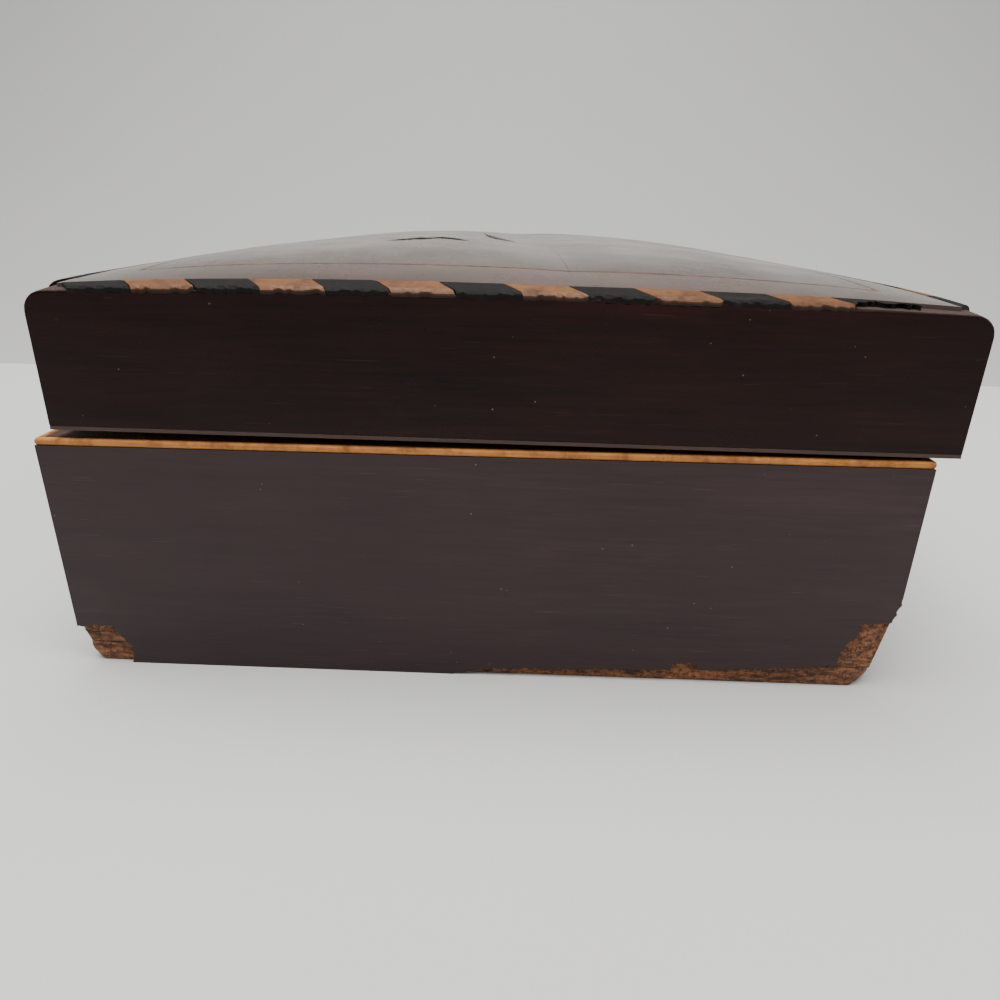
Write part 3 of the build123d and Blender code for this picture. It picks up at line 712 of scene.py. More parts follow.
# The veneer beside a split: how far it rises on one side and sinks on the other, how soon both fade,
# and where the sinking ends beside a stretch that runs back towards the right end
LIP_RISE, RISE_FADE = 0.09 * MM, 6 * MM
LIP_SINK, SINK_FADE = 0.75 * MM, 5 * MM
SINK_END = 10 * MM

# The hollow in the top board under the splits: its middle across the box and from its right end,
# its reach in both directions, and its depth
HOLLOW_X, HOLLOW_Y = -18 * MM, 110 * MM
HOLLOW_REACH_X, HOLLOW_REACH_Y = 30 * MM, 60 * MM
HOLLOW_DEPTH = 1.4 * MM

# Half the open joint between the two leaves of field veneer
HALF_JOINT = 0.03 * MM


def split_path(points):
    """A split's points in metres, in the lid's frame."""
    return [(x * MM, y * MM - sizes().length / 2) for x, y in points]


def split_lift(x, y):
    """How far the veneer rises on one side of a split and sinks on the other."""
    rise = 0
    for _, points in SPLITS:
        path = split_path(points)
        for i, ((x0, y0), (x1, y1)) in enumerate(zip(path, path[1:])):
            span = hypot(x1 - x0, y1 - y0)
            share = ((x - x0) * (x1 - x0) + (y - y0) * (y1 - y0)) / span**2
            across = ((x - x0) * (y1 - y0) - (y - y0) * (x1 - x0)) / span
            returning = y1 < y0
            if not 0 <= share <= 1 or returning and across > SINK_END:
                continue
            taper = sin(pi * (i + share) / (len(path) - 1))
            if across < 0:
                rise = max(rise, LIP_RISE * taper * exp(across / RISE_FADE))
            else:
                rise = min(rise, -LIP_SINK * taper * exp(-across / SINK_FADE))
    return rise


def plank_top(x, y):
    """Upper face of the top boards, hollow where they show through the splits."""
    away_x = (x - HOLLOW_X) / HOLLOW_REACH_X
    away_y = (y + sizes().length / 2 - HOLLOW_Y) / HOLLOW_REACH_Y
    return board_top(x, y) - HOLLOW_DEPTH * exp(-(away_x**2) - away_y**2)


def cut_split(obj, opening, points):
    """Open a split in a leaf of veneer."""
    path = split_path(points)
    bm = bmesh.new()
    rings = []
    for i, (x, y) in enumerate(path):
        before, after = path[max(0, i - 1)], path[min(len(path) - 1, i + 1)]
        run = Vector((after[0] - before[0], after[1] - before[1], 0)).normalized()
        aside = Vector((-run.y, run.x, 0))
        half = opening * MM / 2 * (SPLIT_TIP if i in (0, len(path) - 1) else 1)
        ring = [Vector((x, y, z)) + aside * side * half for z in CUTTER_HEIGHTS for side in (-1, 1)]
        rings.append([bm.verts.new(hung() @ corner) for corner in ring])
    for a, b in zip(rings, rings[1:]):
        for i, j in ((0, 1), (1, 3), (3, 2), (2, 0)):
            bm.faces.new((a[i], a[j], b[j], b[i]))
    for ring in (rings[0], rings[-1]):
        bm.faces.new((ring[0], ring[1], ring[3], ring[2]))
    bmesh.ops.recalc_face_normals(bm, faces=bm.faces)
    mesh = bpy.data.meshes.new("cutter")
    bm.to_mesh(mesh)
    bm.free()
    cutter = in_scene("cutter", mesh)
    cut = obj.modifiers.new("split", "BOOLEAN")
    cut.operation = "DIFFERENCE"
    cut.object = cutter
    opened = shown_mesh(obj)
    obj.modifiers.clear()
    obj.data = opened
    bpy.data.objects.remove(cutter)


def split_open(leaf):
    """Cut the splits in the front leaf, and raise and sink the veneer beside them."""
    for opening, points in SPLITS:
        cut_split(leaf, opening, points)
    back_home = hung().inverted()
    for vert in leaf.data.vertices:
        place = back_home @ vert.co
        place.z += split_lift(place.x, place.y)
        vert.co = hung() @ place


def half_outline(sign, x, y, joint=0):
    """Plan of the front or back half of the lid's top, up to the joint of its two boards."""
    near, far = valley_at(-y) + sign * joint, valley_at(y) + sign * joint
    outer = [(sign * x, -sign * y), (sign * x, sign * y)]
    return outer + ([(far, y), (near, -y)] if sign > 0 else [(near, -y), (far, y)])


class KEEPSAKE_OT_lid_top(bpy.types.Operator):
    """Field veneer, mitred border, its thin line and the two top boards."""

    bl_idname = "keepsake.lid_top"
    bl_label = "Lid top"

    def execute(self, context):
        lid, box = lid_sizes(), sizes()
        field_inset = lid.border_inset + lid.line_width
        field_x, field_y = box.width / 2 - field_inset, box.length / 2 - field_inset
        edge_x, edge_y = box.width / 2 - box.veneer, box.length / 2 - box.veneer
        leaf_cell, plank_cell = 0.75 * lid.cell, 2 * lid.cell
        for side, sign in (("front", -1), ("back", 1)):
            outline = half_outline(sign, field_x, field_y, HALF_JOINT)
            bm = slab(outline, skin_top, skin_bottom, leaf_cell, False)
            name = "lid_field_" + side
            leaf = keep(name + "_leaf", bm, "top_veneer_lengthwise", "lid", (name + "_veneer",), True)
            if side == "front":
                split_open(leaf)
            bm = slab(half_outline(sign, edge_x, edge_y), plank_top, lid_ceiling, plank_cell)
            name = "lid_top_" + side
            keep(name + "_plank", bm, "groundwork_of_top", "lid", (name + "_board",), True)
        for side in SIDES:
            outline = mitred_outline(side, lid.banding_width, lid.border_inset)
            bm = slab(outline, skin_top, skin_bottom, lid.cell)
            name = "lid_" + side + "_border"
            border = keep(name + "_veneer", bm, "top_veneer_" + grain(side), "lid", (name,), True)
            bevelled(border, 0.12, segments=1, angle=50)
            outline = mitred_outline(side, lid.border_inset, field_inset)
            bm = slab(outline, skin_top, skin_bottom, lid.cell, False)
            name = "lid_" + side + "_line"
            keep(name + "_strip", bm, "boxwood_line", "lid", (name,), True)
        return {"FINISHED"}


# Geometry Nodes trees


def new_tree(name, inputs):
    """An empty tree with a geometry input and output and named inputs."""
    tree = bpy.data.node_groups.new(name, "GeometryNodeTree")
    tree.interface.new_socket("Geometry", in_out="INPUT", socket_type="NodeSocketGeometry")
    for label, kind in inputs.items():
        tree.interface.new_socket(label, in_out="INPUT", socket_type="NodeSocket" + kind)
    tree.interface.new_socket("Geometry", in_out="OUTPUT", socket_type="NodeSocketGeometry")
    start = tree.nodes.new("NodeGroupInput")
    return tree, start.outputs


def add(tree, kind, links=None, **settings):
    """Add a node, set its own settings, and wire or set its inputs by name."""
    node = tree.nodes.new(kind)
    for name, value in settings.items():
        setattr(node, name, value)
    for name, value in (links or {}).items():
        if isinstance(value, bpy.types.NodeSocket):
            tree.links.new(value, node.inputs[name])
        else:
            node.inputs[name].default_value = value
    return node


def sums(tree, operation, first, second):
    """A sum, difference, product or share of two numbers."""
    return add(tree, "ShaderNodeMath", {0: first, 1: second}, operation=operation).outputs[0]


def vector(tree, x=0.0, y=0.0, z=0.0):
    """A vector from three numbers."""
    return add(tree, "ShaderNodeCombineXYZ", {"X": x, "Y": y, "Z": z}).outputs[0]


def finish_tree(tree, geometry, material):
    """Realize the copies and give them their material."""
    real = add(tree, "GeometryNodeRealizeInstances", {"Geometry": geometry})
    painted = add(tree, "GeometryNodeSetMaterial", {"Geometry": real.outputs[0], "Material": material})
    add(tree, "NodeGroupOutput", {"Geometry": painted.outputs[0]})
    return tree


def run_tree(tree, values, mesh=None):
    """A bmesh of what a tree makes from its input mesh and values."""
    holder = in_scene("holder", mesh or bpy.data.meshes.new("holder"))
    modifier = holder.modifiers.new("pattern", "NODES")
    modifier.node_group = tree
    for item in tree.interface.items_tree:
        if item.in_out == "INPUT" and item.name in values:
            modifier[item.identifier] = values[item.name]
    bm = bmesh.new()
    bm.from_mesh(shown_mesh(holder))
    bpy.data.objects.remove(holder)
    return bm


# Points along, across and through a piece of banding, and the least and greatest scale of a piece
BANDING_GRID = (22, 9, 3)
SMALLEST_PIECE = (0.965, 0.975, 0.92)
LARGEST_PIECE = (0.995, 1.0, 1.06)


def banding_tree():
    """Slanted pieces in a row: along X, inwards along Y, with their tops near Z 0."""
    numbers = ("Pitch", "Piece", "Width", "Slant", "Thickness")
    inputs = {"Count": "Int", **{name: "Float" for name in numbers}, "Seed": "Int", "Material": "Material"}
    tree, given = new_tree("banding pieces", inputs)
    row = add(tree, "GeometryNodeMeshLine", {"Count": given["Count"], "Offset": vector(tree, given["Pitch"])})
    size = vector(tree, given["Piece"], given["Width"], given["Thickness"])
    counts = {"Vertices " + axis: count for axis, count in zip("XYZ", BANDING_GRID)}
    block = add(tree, "GeometryNodeMeshCube", {"Size": size, **counts})
    place = add(tree, "ShaderNodeSeparateXYZ", {0: add(tree, "GeometryNodeInputPosition").outputs[0]})
    share = sums(tree, "DIVIDE", place.outputs["Y"], given["Width"])
    lean = sums(tree, "MULTIPLY", sums(tree, "ADD", share, 0.5), given["Slant"])
    shift_x = sums(tree, "SUBTRACT", sums(tree, "MULTIPLY", given["Piece"], 0.5), lean)
    shift_y = sums(tree, "MULTIPLY", given["Width"], 0.5)
    shift_z = sums(tree, "MULTIPLY", given["Thickness"], -0.5)
    moved = {"Geometry": block.outputs["Mesh"], "Offset": vector(tree, shift_x, shift_y, shift_z)}
    slanted = add(tree, "GeometryNodeSetPosition", moved)
    chance = add(tree, "FunctionNodeRandomValue", {"Seed": given["Seed"]}, data_type="FLOAT_VECTOR")
    chance.inputs["Min"].default_value = SMALLEST_PIECE
    chance.inputs["Max"].default_value = LARGEST_PIECE
    copies = {"Points": row.outputs["Mesh"], "Instance": slanted.outputs["Geometry"]}
    placed = add(tree, "GeometryNodeInstanceOnPoints", {**copies, "Scale": chance.outputs["Value"]})
    return finish_tree(tree, placed.outputs["Instances"], given["Material"])


# A screw's slot as shares of the head's radius: its length, width and twice its depth; and the shank's tip
SLOT_SHARES = (3.0, 0.33, 0.5)
TIP_RADIUS = 0.2 * MM


def cone(tree, facets, top, bottom, depth, sunk):
    """A blunt cone, by its radii and depth, whose lower end is sunk below the origin."""
    shape = {"Vertices": facets, "Radius Top": top, "Radius Bottom": bottom, "Depth": depth}
    made = add(tree, "GeometryNodeMeshCone", shape)
    down = vector(tree, z=sums(tree, "MULTIPLY", sunk, -1.0))
    moved = {"Geometry": made.outputs["Mesh"], "Translation": down}
    return add(tree, "GeometryNodeTransform", moved).outputs[0]


def screw_tree():
    """Slotted countersunk screws on points that carry their turn."""
    numbers = ("Head", "Shank", "Length")
    inputs = {**{name: "Float" for name in numbers}, "Facets": "Int", "Material": "Material"}
    tree, given = new_tree("slotted screws", inputs)
    depth = sums(tree, "SUBTRACT", given["Head"], given["Shank"])
    head = cone(tree, given["Facets"], given["Head"], given["Shank"], depth, depth)
    slot_size = vector(tree, *[sums(tree, "MULTIPLY", given["Head"], share) for share in SLOT_SHARES])
    slot = add(tree, "GeometryNodeMeshCube", {"Size": slot_size})
    cut = add(tree, "GeometryNodeMeshBoolean", {"Mesh 1": head}, operation="DIFFERENCE")
    tree.links.new(slot.outputs["Mesh"], cut.inputs["Mesh 2"])
    run = sums(tree, "SUBTRACT", given["Length"], depth)
    shank = cone(tree, given["Facets"], given["Shank"], TIP_RADIUS, run, given["Length"])
    whole = add(tree, "GeometryNodeJoinGeometry")
    tree.links.new(cut.outputs["Mesh"], whole.inputs[0])
    tree.links.new(shank, whole.inputs[0])
    turn = add(tree, "GeometryNodeInputNamedAttribute", {"Name": "turn"}, data_type="FLOAT_VECTOR")
    points = add(tree, "GeometryNodeMeshToPoints", {"Mesh": given["Geometry"]})
    copies = {"Points": points.outputs[0], "Instance": whole.outputs[0]}
    placed = add(tree, "GeometryNodeInstanceOnPoints", {**copies, "Rotation": turn.outputs["Attribute"]})
    return finish_tree(tree, placed.outputs["Instances"], given["Material"])


# How many pieces of banding are lost at the far end of a side's row, and sides without their first pale one
LOST_PIECES = {"right_end": 3, "front": 2}
FIRST_PALE_LOST = ("right_end", "back")

# Pieces past the last whole one of a row: one that the mitre cuts and, as pieces are slanted, one more
PAST_WHOLE = 2

# Seed of the first row's chances
BANDING_SEED = 5

# How dark the banding's outer face is made near its top and below, with grime and painted shade,
# and how wide and high these places are, as shares of the banding's width and thickness
TOP_GRIME_AND_SHADE, SIDE_GRIME_AND_SHADE = 0.25, 0.95
GRIMY_SHADED_WIDTH, GRIMY_SHADED_TOP = 0.05, 0.2

# The chewed outer edge: waves per metre along and across, how far apart two sides lie in the noise,
# its octaves, and how far in it reaches as a share of the width
CHEW_WAVES = (420, 60)
CHEW_PLACE = (3.7, 9.1)
CHEW_OCTAVES = (1, 2.4, 3)
CHEWED_WIDTH = 0.3

# What is left of the banding's width where it is broken, and how ragged that is
LEFT_WIDTH, LEFT_JAG = 0.62, 0.5

# How much of the veneers' swells the banding shows
BANDING_SWELL = 0.5


def banding_edges():
    """Each side's row of banding: its corner, the way it runs, the way inwards, and its length."""
    box = sizes()
    x, y = box.width / 2, box.length / 2
    return {
        "right_end": ((-x, -y), (1, 0), (0, 1), box.width),
        "back": ((x, -y), (0, 1), (-1, 0), box.length),
        "left_end": ((x, y), (-1, 0), (0, -1), box.width),
        "front": ((-x, y), (0, -1), (1, 0), box.length),
    }


def banding_row(tree, tone, material, side, turn):
    """One side's pieces of a tone, cut at the mitres, worn, marked with grime and painted shade and laid on
    the crown.

    The turn counts the sides, so that each has chances of its own.
    """
    lid, box = lid_sizes(), sizes()
    corner, run, inward, reach = banding_edges()[side]
    whole = int((reach - lid.banding_start) / lid.banding_piece)
    stop = whole + PAST_WHOLE - LOST_PIECES.get(side, 0)
    first_pale = 1 if side in FIRST_PALE_LOST else -1
    start = 0 if tone == "dark" else first_pale
    row = run_tree(tree, {
        "Count": len(range(start, stop, 2)), "Pitch": 2 * lid.banding_piece, "Piece": lid.banding_piece,
        "Width": lid.banding_width, "Slant": lid.banding_slant, "Thickness": box.veneer,
        "Seed": BANDING_SEED + turn, "Material": finish(material),
    })
    offset = lid.banding_start + start * lid.banding_piece
    bmesh.ops.translate(row, verts=row.verts, vec=(offset, 0, 0))
    cut_off(row, (0, 0, 0), (-1, 1, 0))
    cut_off(row, (reach, 0, 0), (1, 1, 0))
    grime_and_shade = row.verts.layers.float.new("grime_and_shade")
    for vert in row.verts:
        on, by, high = vert.co
        # The outer face is marked for grime and painted shade, darkest below its top
        if by < GRIMY_SHADED_WIDTH * lid.banding_width:
            vert[grime_and_shade] = TOP_GRIME_AND_SHADE if high > -GRIMY_SHADED_TOP * box.veneer else SIDE_GRIME_AND_SHADE
        place = Vector((on * CHEW_WAVES[0], CHEW_PLACE[0] * turn, CHEW_PLACE[1] + by * CHEW_WAVES[1]))
        chew = noise.fractal(place, *CHEW_OCTAVES)
        if by < CHEWED_WIDTH * lid.banding_width:
            by += max(0, chew) * lid.banding_chew
        if side == "right_end" and on > reach - lid.banding_lost:
            by = max(by, lid.banding_width * (LEFT_WIDTH + LEFT_JAG * chew))
        x = corner[0] + run[0] * on + inward[0] * by
        y = corner[1] + run[1] * on + inward[1] * by
        height = box.lid_height + crown(x, y) + high
        vert.co = (x, y, height + BANDING_SWELL * lift(x, y))
    return row


class KEEPSAKE_OT_banding(bpy.types.Operator):
    """Dark and pale slanted banding round the lid's top edge, lost at two corners."""

    bl_idname = "keepsake.banding"
    bl_label = "Edge banding"

    def execute(self, context):
        tree = banding_tree()
        for tone, material in (("dark", "ebony"), ("light", "boxwood_banding")):
            whole = bmesh.new()
            whole.verts.layers.float.new("grime_and_shade")
            for turn, side in enumerate(banding_edges()):
                row = banding_row(tree, tone, material, side, turn)
                spare = bpy.data.meshes.new("row")
                row.to_mesh(spare)
                row.free()
                whole.from_mesh(spare)
            name = "banding_" + tone
            pieces = keep(name + "_pieces", whole, material, "lid", (name,), True)
            bevelled(pieces, 0.08, segments=1, angle=50)
        return {"FINISHED"}


class KEEPSAKE_OT_lid_sides(bpy.types.Operator):
    """Carcass, side veneers and rim facings of the lid."""

    bl_idname = "keepsake.lid_sides"
    bl_label = "Lid sides"

    def execute(self, context):
        for side in SIDES:
            softened("lid_" + side + "_board", "groundwork_" + grain(side), "lid", ease=0.2)
            name = "lid_" + side + "_veneer"
            material = "lid_veneer_" + grain(side)
            if side == "back":
                softened(name, material, "lid", ease=0.2, wear=True)
            else:
                bm = slab(mitred_outline(side, 0, sizes().veneer), board_top, rim_top, lid_sizes().cell)
                leaf = keep(name + "_leaf", bm, material, "lid", (name,), True)
                bevelled(leaf, 0.3, angle=50)
            softened("lid_" + side + "_rim_facing", "rim_wood", "lid", ease=0.25)
        return {"FINISHED"}


# Bruised corners of the base at its right end, in millimetres: the corner, and how far the cut runs from it
BOTTOM_BRUISES = [((-117.6, -162.6, 0), (2.5, 4, 3)), ((117.6, -162.6, 0), (-5.5, 7, 5))]
WALL_BRUISES = [((-118.8, -163.8, 6.5), (1.6, 6, 4)), ((118.8, -163.8, 6.5), (-2.8, 9, 15.5))]
VENEER_BRUISES = [((-120, -165, 12), (1.3, 9, 4.5))]

# Edges of the veneer that is left on the base's right end, in millimetres from its lock side and foot
LEFT_CHIP = [(0, 12.2), (5, 12.9), (10.7, 13.0), (13.0, 8.9), (15.8, 5.8), (14.8, 0)]
RIGHT_CHIP = [
    (112, 0), (121.9, 2.1), (139, 3.0), (156.9, 3.6), (177.8, 4.2), (178.2, 6.3), (185, 6.6),
    (185.9, 4.5), (210.5, 5.9), (225.2, 7.4), (227.1, 14.8), (230, 19), (229.7, 21.7), (238.6, 22.8),
    (239.6, 27.5), (240, 30.5),
]

# Teeth of those edges: how far apart and how deep, in millimetres, and for up and aside
# their waves per millimetre and a place in the noise
TOOTH_STEP, TOOTH_DEPTH = 0.7, 0.9
TEETH_UP = (1.7, 2.3)
TEETH_ASIDE = (1.9, 8.3)

# How near the side's edge a point lies that the mitre moves
AT_EDGE = 0.01 * MM


def tooth(x, z, waves, place):
    """How far a point of a broken edge is moved."""
    return TOOTH_DEPTH * noise.noise(Vector((x * waves, z * waves, place)))


def ragged(points):
    """A broken edge: a line with small teeth between its points."""
    out = [points[0]]
    for (x0, z0), (x1, z1) in zip(points, points[1:]):
        span = hypot(x1 - x0, z1 - z0)
        count = max(1, int(span / TOOTH_STEP))
        for i in range(1, count + 1):
            share = i / count
            x, z = x0 + (x1 - x0) * share, z0 + (z1 - z0) * share
            if i < count:
                z += tooth(x, z, *TEETH_UP)
                x += tooth(x, z, *TEETH_ASIDE)
            out.append((x, z))
    return out


def chipped_veneer():
    """The veneer that is left on the base's right end."""
    box = sizes()
    top = (box.base_height - box.stringing) / MM
    outline = ragged(LEFT_CHIP) + ragged(RIGHT_CHIP) + [(box.width / MM, top), (0, top)]
    bm = bmesh.new()
    y = -box.length / 2
    ring = [bm.verts.new((x * MM - box.width / 2, y, max(0, z) * MM)) for x, z in outline]
    face = bm.faces.new(ring)
    grown = bmesh.ops.extrude_face_region(bm, geom=[face])["geom"]
    for vert in grown:
        if isinstance(vert, bmesh.types.BMVert):
            vert.co.y += box.veneer
            if abs(vert.co.x) > box.width / 2 - AT_EDGE:
                vert.co.x -= box.veneer if vert.co.x > 0 else -box.veneer
    return bm


class KEEPSAKE_OT_base_sides(bpy.types.Operator):
    """Carcass, bottom board, side veneers and stringing of the base."""

    bl_idname = "keepsake.base_sides"
    bl_label = "Base sides"

    def execute(self, context):
        softened("bottom_board", "groundwork_across", "base", ease=1.2, bruises=BOTTOM_BRUISES)
        for side in SIDES:
            start = "base_" + side
            softened(start + "_board", "groundwork_" + grain(side), "base", ease=0.3, bruises=WALL_BRUISES)
            softened(start + "_stringing", "boxwood", "base", ease=0.6)
            material = "base_veneer_" + grain(side)
            if side == "right_end":
                leaf = keep(start + "_leaf", chipped_veneer(), material, "base", (start + "_veneer",))
                bevelled(leaf, 0.12, segments=1)
            else:
                bruises = VENEER_BRUISES if side == "front" else ()
                softened(start + "_veneer", material, "base", ease=0.3, bruises=bruises)
        return {"FINISHED"}


class KEEPSAKE_OT_hinges(bpy.types.Operator):
    """Leaves and pins of the two butt hinges."""

    bl_idname = "keepsake.hinges"
    bl_label = "Hinges"

    def execute(self, context):
        for hinge in ("right_hinge", "left_hinge"):
            softened(hinge + "_base_leaf", "brass", "base", ease=0.12)
            softened(hinge + "_lid_leaf", "brass", "lid", ease=0.12)
            softened(hinge + "_pin", "steel", "base", ease=0.2)
        return {"FINISHED"}


class KEEPSAKE_OT_lock(bpy.types.Operator):
    """Box lock, bolt, link plate and the keyhole's inlay."""

    bl_idname = "keepsake.lock"
    bl_label = "Lock"

    def execute(self, context):
        softened("lock_plate", "brass", "base", ease=0.12)
        softened("lock_case", "brass", "base", ease=0.2)
        softened("lock_bolt", "steel", "bolt", ease=0.12)
        softened("keyhole_escutcheon", "boxwood", "base", ease=0.1)
        softened("link_plate", "brass", "lid", ease=0.12)
        return {"FINISHED"}


class KEEPSAKE_OT_screws(bpy.types.Operator):
    """Slotted screws of the hinges, the lock and the link plate."""

    bl_idname = "keepsake.screws"
    bl_label = "Screws"

    def execute(self, context):
        given = context.scene.keepsake_screws
        tree = screw_tree()
        small = (given.small_head, given.small_shank, given.small_length)
        large = (given.head, given.shank, given.screw_length)
        kinds = {
            "base_hinge_screws": ("base", large), "lid_hinge_screws": ("lid", large),
            "lock_screws": ("base", small), "link_screws": ("lid", small),
        }
        for node, (body, (head, shank, run)) in kinds.items():
            places = screw_places(node)
            mesh = bpy.data.meshes.new("places")
            mesh.from_pydata([place for place, turn in places], [], [])
            turns = mesh.attributes.new("turn", "FLOAT_VECTOR", "POINT")
            for item, (place, turn) in zip(turns.data, places):
                item.vector = turn
            values = {"Head": head, "Shank": shank, "Length": run, "Facets": given.facets}
            bm = run_tree(tree, {**values, "Material": finish("steel")}, mesh)
            bmesh.ops.remove_doubles(bm, verts=bm.verts, dist=SAME_POINT)
            keep(node + "_slotted", bm, "steel", body, (node,))
        return {"FINISHED"}


# How near a screw's end a point lies that counts for its width there
END_DEPTH = 0.2 * MM


def screw_places(node):
    """Where a node's screws have their heads, and how they are turned, read from its solids."""
    bm = merged(node)
    seen = set()
    places = []
    for start in bm.verts:
        if start in seen:
            continue
        seen.add(start)
        group, front = [], [start]
        while front:
            vert = front.pop()
            group.append(vert.co.copy())
            for edge in vert.link_edges:
                other = edge.other_vert(vert)
                if other not in seen:
                    seen.add(other)
                    front.append(other)
        places.append(head_and_turn(group))
    bm.free()
    return places


def head_and_turn(points):
    """The middle of a screw's head and the turn that points its shank the right way."""
    low = Vector([min(point[i] for point in points) for i in range(3)])
    high = Vector([max(point[i] for point in points) for i in range(3)])
    place, size = (low + high) / 2, high - low
    axis = max(range(3), key=lambda i: size[i])
    head_high = ring_width(points, axis, high[axis]) > ring_width(points, axis, low[axis])
    place[axis] = high[axis] if head_high else low[axis]
    along_x = {True: (0, pi / 2, 0), False: (0, -pi / 2, 0)}
    along_z = {True: (0, 0, 0), False: (pi, 0, 0)}
    return place, {"x": along_x, "z": along_z}["xyz"[axis]][head_high]


def ring_width(points, axis, place):
    """How wide a screw is at one of its ends."""
    aside = [i for i in range(3) if i != axis][0]
    ring = [point[aside] for point in points if abs(point[axis] - place) < END_DEPTH]
    return max(ring) - min(ring)


class KEEPSAKE_OT_linings(bpy.types.Operator):
    """Paper linings of the base and of the lid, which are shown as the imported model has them."""

    bl_idname = "keepsake.linings"
    bl_label = "Linings"

    def execute(self, context):
        for node in ("base_floor_lining", "base_wall_lining", "lid_ceiling_lining", "lid_wall_lining"):
            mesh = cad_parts[node].data
            mesh.materials.clear()
            mesh.materials.append(finish("lining_paper"))
        return {"FINISHED"}


# Stage

# Steps of the backdrop's curve
SWEEP_STEPS = 48

# How weak the even light is from the camera's side, and between which directions along Y it changes
DIM_SHARE = 0.22
DIM_FROM, DIM_TO = -0.6, 0.3
SKY_COLOUR = (1.0, 0.985, 0.96, 1)


def plain(name, shade, rough=0.9, uneven=0.96):
    """A plain finish for the stage, with a little unevenness."""
    made = Finish(name)
    cloud = made.noise(made.place, scale=6, detail=3)
    return made.done(made.mix(cloud, shade, tuple(part * uneven for part in shade)), rough)


def stage_sheet(name, corners, faces, material):
    """A sheet of the stage, which isn't part of the object."""
    mesh = bpy.data.meshes.new(name)
    mesh.from_pydata(corners, [], faces)
    mesh.materials.append(material)
    mesh.shade_smooth()
    in_scene(name, mesh)


def swept_backdrop(start, back, reach, material):
    """A backdrop that leaves the floor in a wide curve and stands up behind the box."""
    turns = [pi / 2 * i / SWEEP_STEPS for i in range(SWEEP_STEPS + 1)]
    profile = [(start + (back - start) * sin(turn), back * (1 - cos(turn))) for turn in turns]
    profile.append((back, back + reach))
    corners = [(x, y, z) for y, z in profile for x in (-reach, reach)]
    faces = [(2 * i, 2 * i + 1, 2 * i + 3, 2 * i + 2) for i in range(len(profile) - 1)]
    stage_sheet("backdrop", corners, faces, material)


def even_light(strength):
    """Soft light from all round, weaker from the camera's side."""
    world = bpy.data.worlds.new("even_light")
    world.use_nodes = True
    nodes, links = world.node_tree.nodes, world.node_tree.links
    place = nodes.new("ShaderNodeTexCoord")
    split = nodes.new("ShaderNodeSeparateXYZ")
    links.new(place.outputs["Generated"], split.inputs[0])
    share = nodes.new("ShaderNodeMapRange")
    share.inputs["From Min"].default_value = DIM_FROM
    share.inputs["From Max"].default_value = DIM_TO
    share.inputs["To Min"].default_value = DIM_SHARE * strength
    share.inputs["To Max"].default_value = strength
    links.new(split.outputs["Y"], share.inputs["Value"])
    sky = nodes["Background"]
    sky.inputs["Color"].default_value = SKY_COLOUR
    links.new(share.outputs["Result"], sky.inputs["Strength"])
    bpy.context.scene.world = world


def lamp(name, place, aim, power, across):
    """A soft square light that points at a place."""
    data = bpy.data.lights.new(name, "AREA")
    data.shape = "SQUARE"
    data.size = across
    data.energy = power
    obj = in_scene(name, data)
    obj.location = place
    obj.rotation_euler = (Vector(aim) - Vector(place)).to_track_quat("-Z", "Y").to_euler()


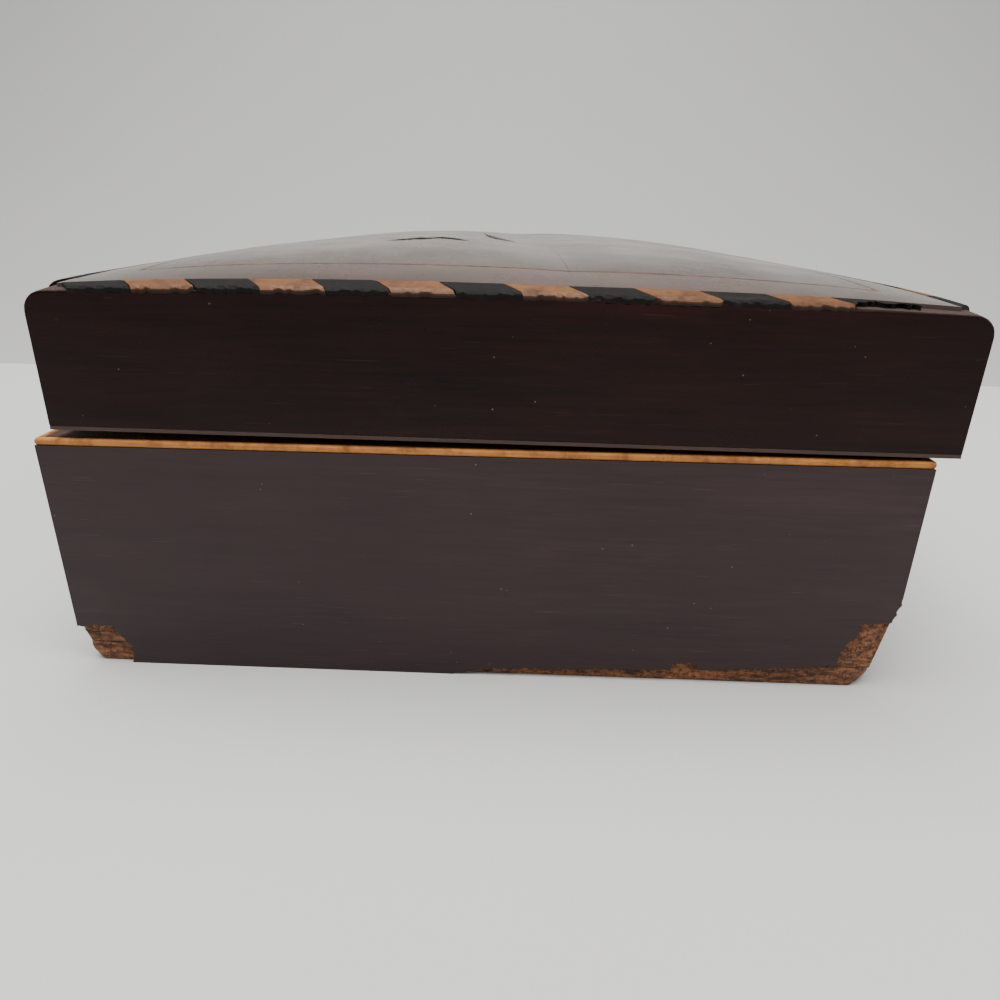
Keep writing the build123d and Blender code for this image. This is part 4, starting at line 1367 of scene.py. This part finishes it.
class KEEPSAKE_OT_stage(bpy.types.Operator):
    """Pale floor, grey backdrop, soft lights and the camera."""

    bl_idname = "keepsake.stage"
    bl_label = "Stage"

    def execute(self, context):
        stage = context.scene.keepsake_stage
        reach, end = stage.reach, stage.floor_end
        corners = [(-reach, -reach, 0), (reach, -reach, 0), (reach, end, 0), (-reach, end, 0)]
        stage_sheet("floor", corners, [(0, 1, 2, 3)], plain("pale_floor", stage.floor_colour))
        swept_backdrop(end, stage.wall_y, reach, plain("grey_backdrop", stage.wall_colour))
        lamp("top_light", place=(-0.2, -0.1, 1.6), aim=(0, 0, 0), power=stage.top_light, across=1.6)
        lamp("side_light", place=(1.4, -0.5, 0.9), aim=(0, 0, 0.05), power=stage.side_light, across=0.9)
        even_light(stage.sky)
        data = bpy.data.cameras.new("camera")
        data.sensor_width = 36
        data.lens = stage.lens
        data.clip_start = 0.01
        camera = in_scene("camera", data)
        camera.matrix_world = Matrix.LocRotScale(stage.camera_place, stage.camera_turn, None)
        context.scene.camera = camera
        return {"FINISHED"}


OPERATORS = (
    KEEPSAKE_OT_lid_top,
    KEEPSAKE_OT_banding,
    KEEPSAKE_OT_lid_sides,
    KEEPSAKE_OT_base_sides,
    KEEPSAKE_OT_hinges,
    KEEPSAKE_OT_lock,
    KEEPSAKE_OT_screws,
    KEEPSAKE_OT_linings,
    KEEPSAKE_OT_stage,
)


class KEEPSAKE_PT_panel(bpy.types.Panel):
    """Lists the operators and the sizes in the sidebar."""

    bl_idname = "KEEPSAKE_PT_panel"
    bl_label = "Keepsake Box"
    bl_space_type = "VIEW_3D"
    bl_region_type = "UI"
    bl_category = "Keepsake Box"

    def draw(self, context):
        for operator in OPERATORS:
            self.layout.operator(operator.bl_idname)
        for group_name, group in GROUPS.items():
            section = self.layout.box()
            values = getattr(context.scene, group_name)
            for name in group.__annotations__:
                section.prop(values, name)


def register():
    """Register the classes and hang the sizes on the scene."""
    for group_name, group in GROUPS.items():
        bpy.utils.register_class(group)
        setattr(bpy.types.Scene, group_name, PointerProperty(type=group))
    for operator in OPERATORS:
        bpy.utils.register_class(operator)
    bpy.utils.register_class(KEEPSAKE_PT_panel)


def unregister():
    """Take the classes away again."""
    bpy.utils.unregister_class(KEEPSAKE_PT_panel)
    for operator in reversed(OPERATORS):
        bpy.utils.unregister_class(operator)
    for group_name, group in GROUPS.items():
        delattr(bpy.types.Scene, group_name)
        bpy.utils.unregister_class(group)


def main():
    """Build every piece in order."""
    register()
    bpy.ops.keepsake.lid_top()
    bpy.ops.keepsake.banding()
    bpy.ops.keepsake.lid_sides()
    bpy.ops.keepsake.base_sides()
    bpy.ops.keepsake.hinges()
    bpy.ops.keepsake.lock()
    bpy.ops.keepsake.screws()
    bpy.ops.keepsake.linings()
    bpy.ops.keepsake.stage()


if __name__ == "__main__":
    main()
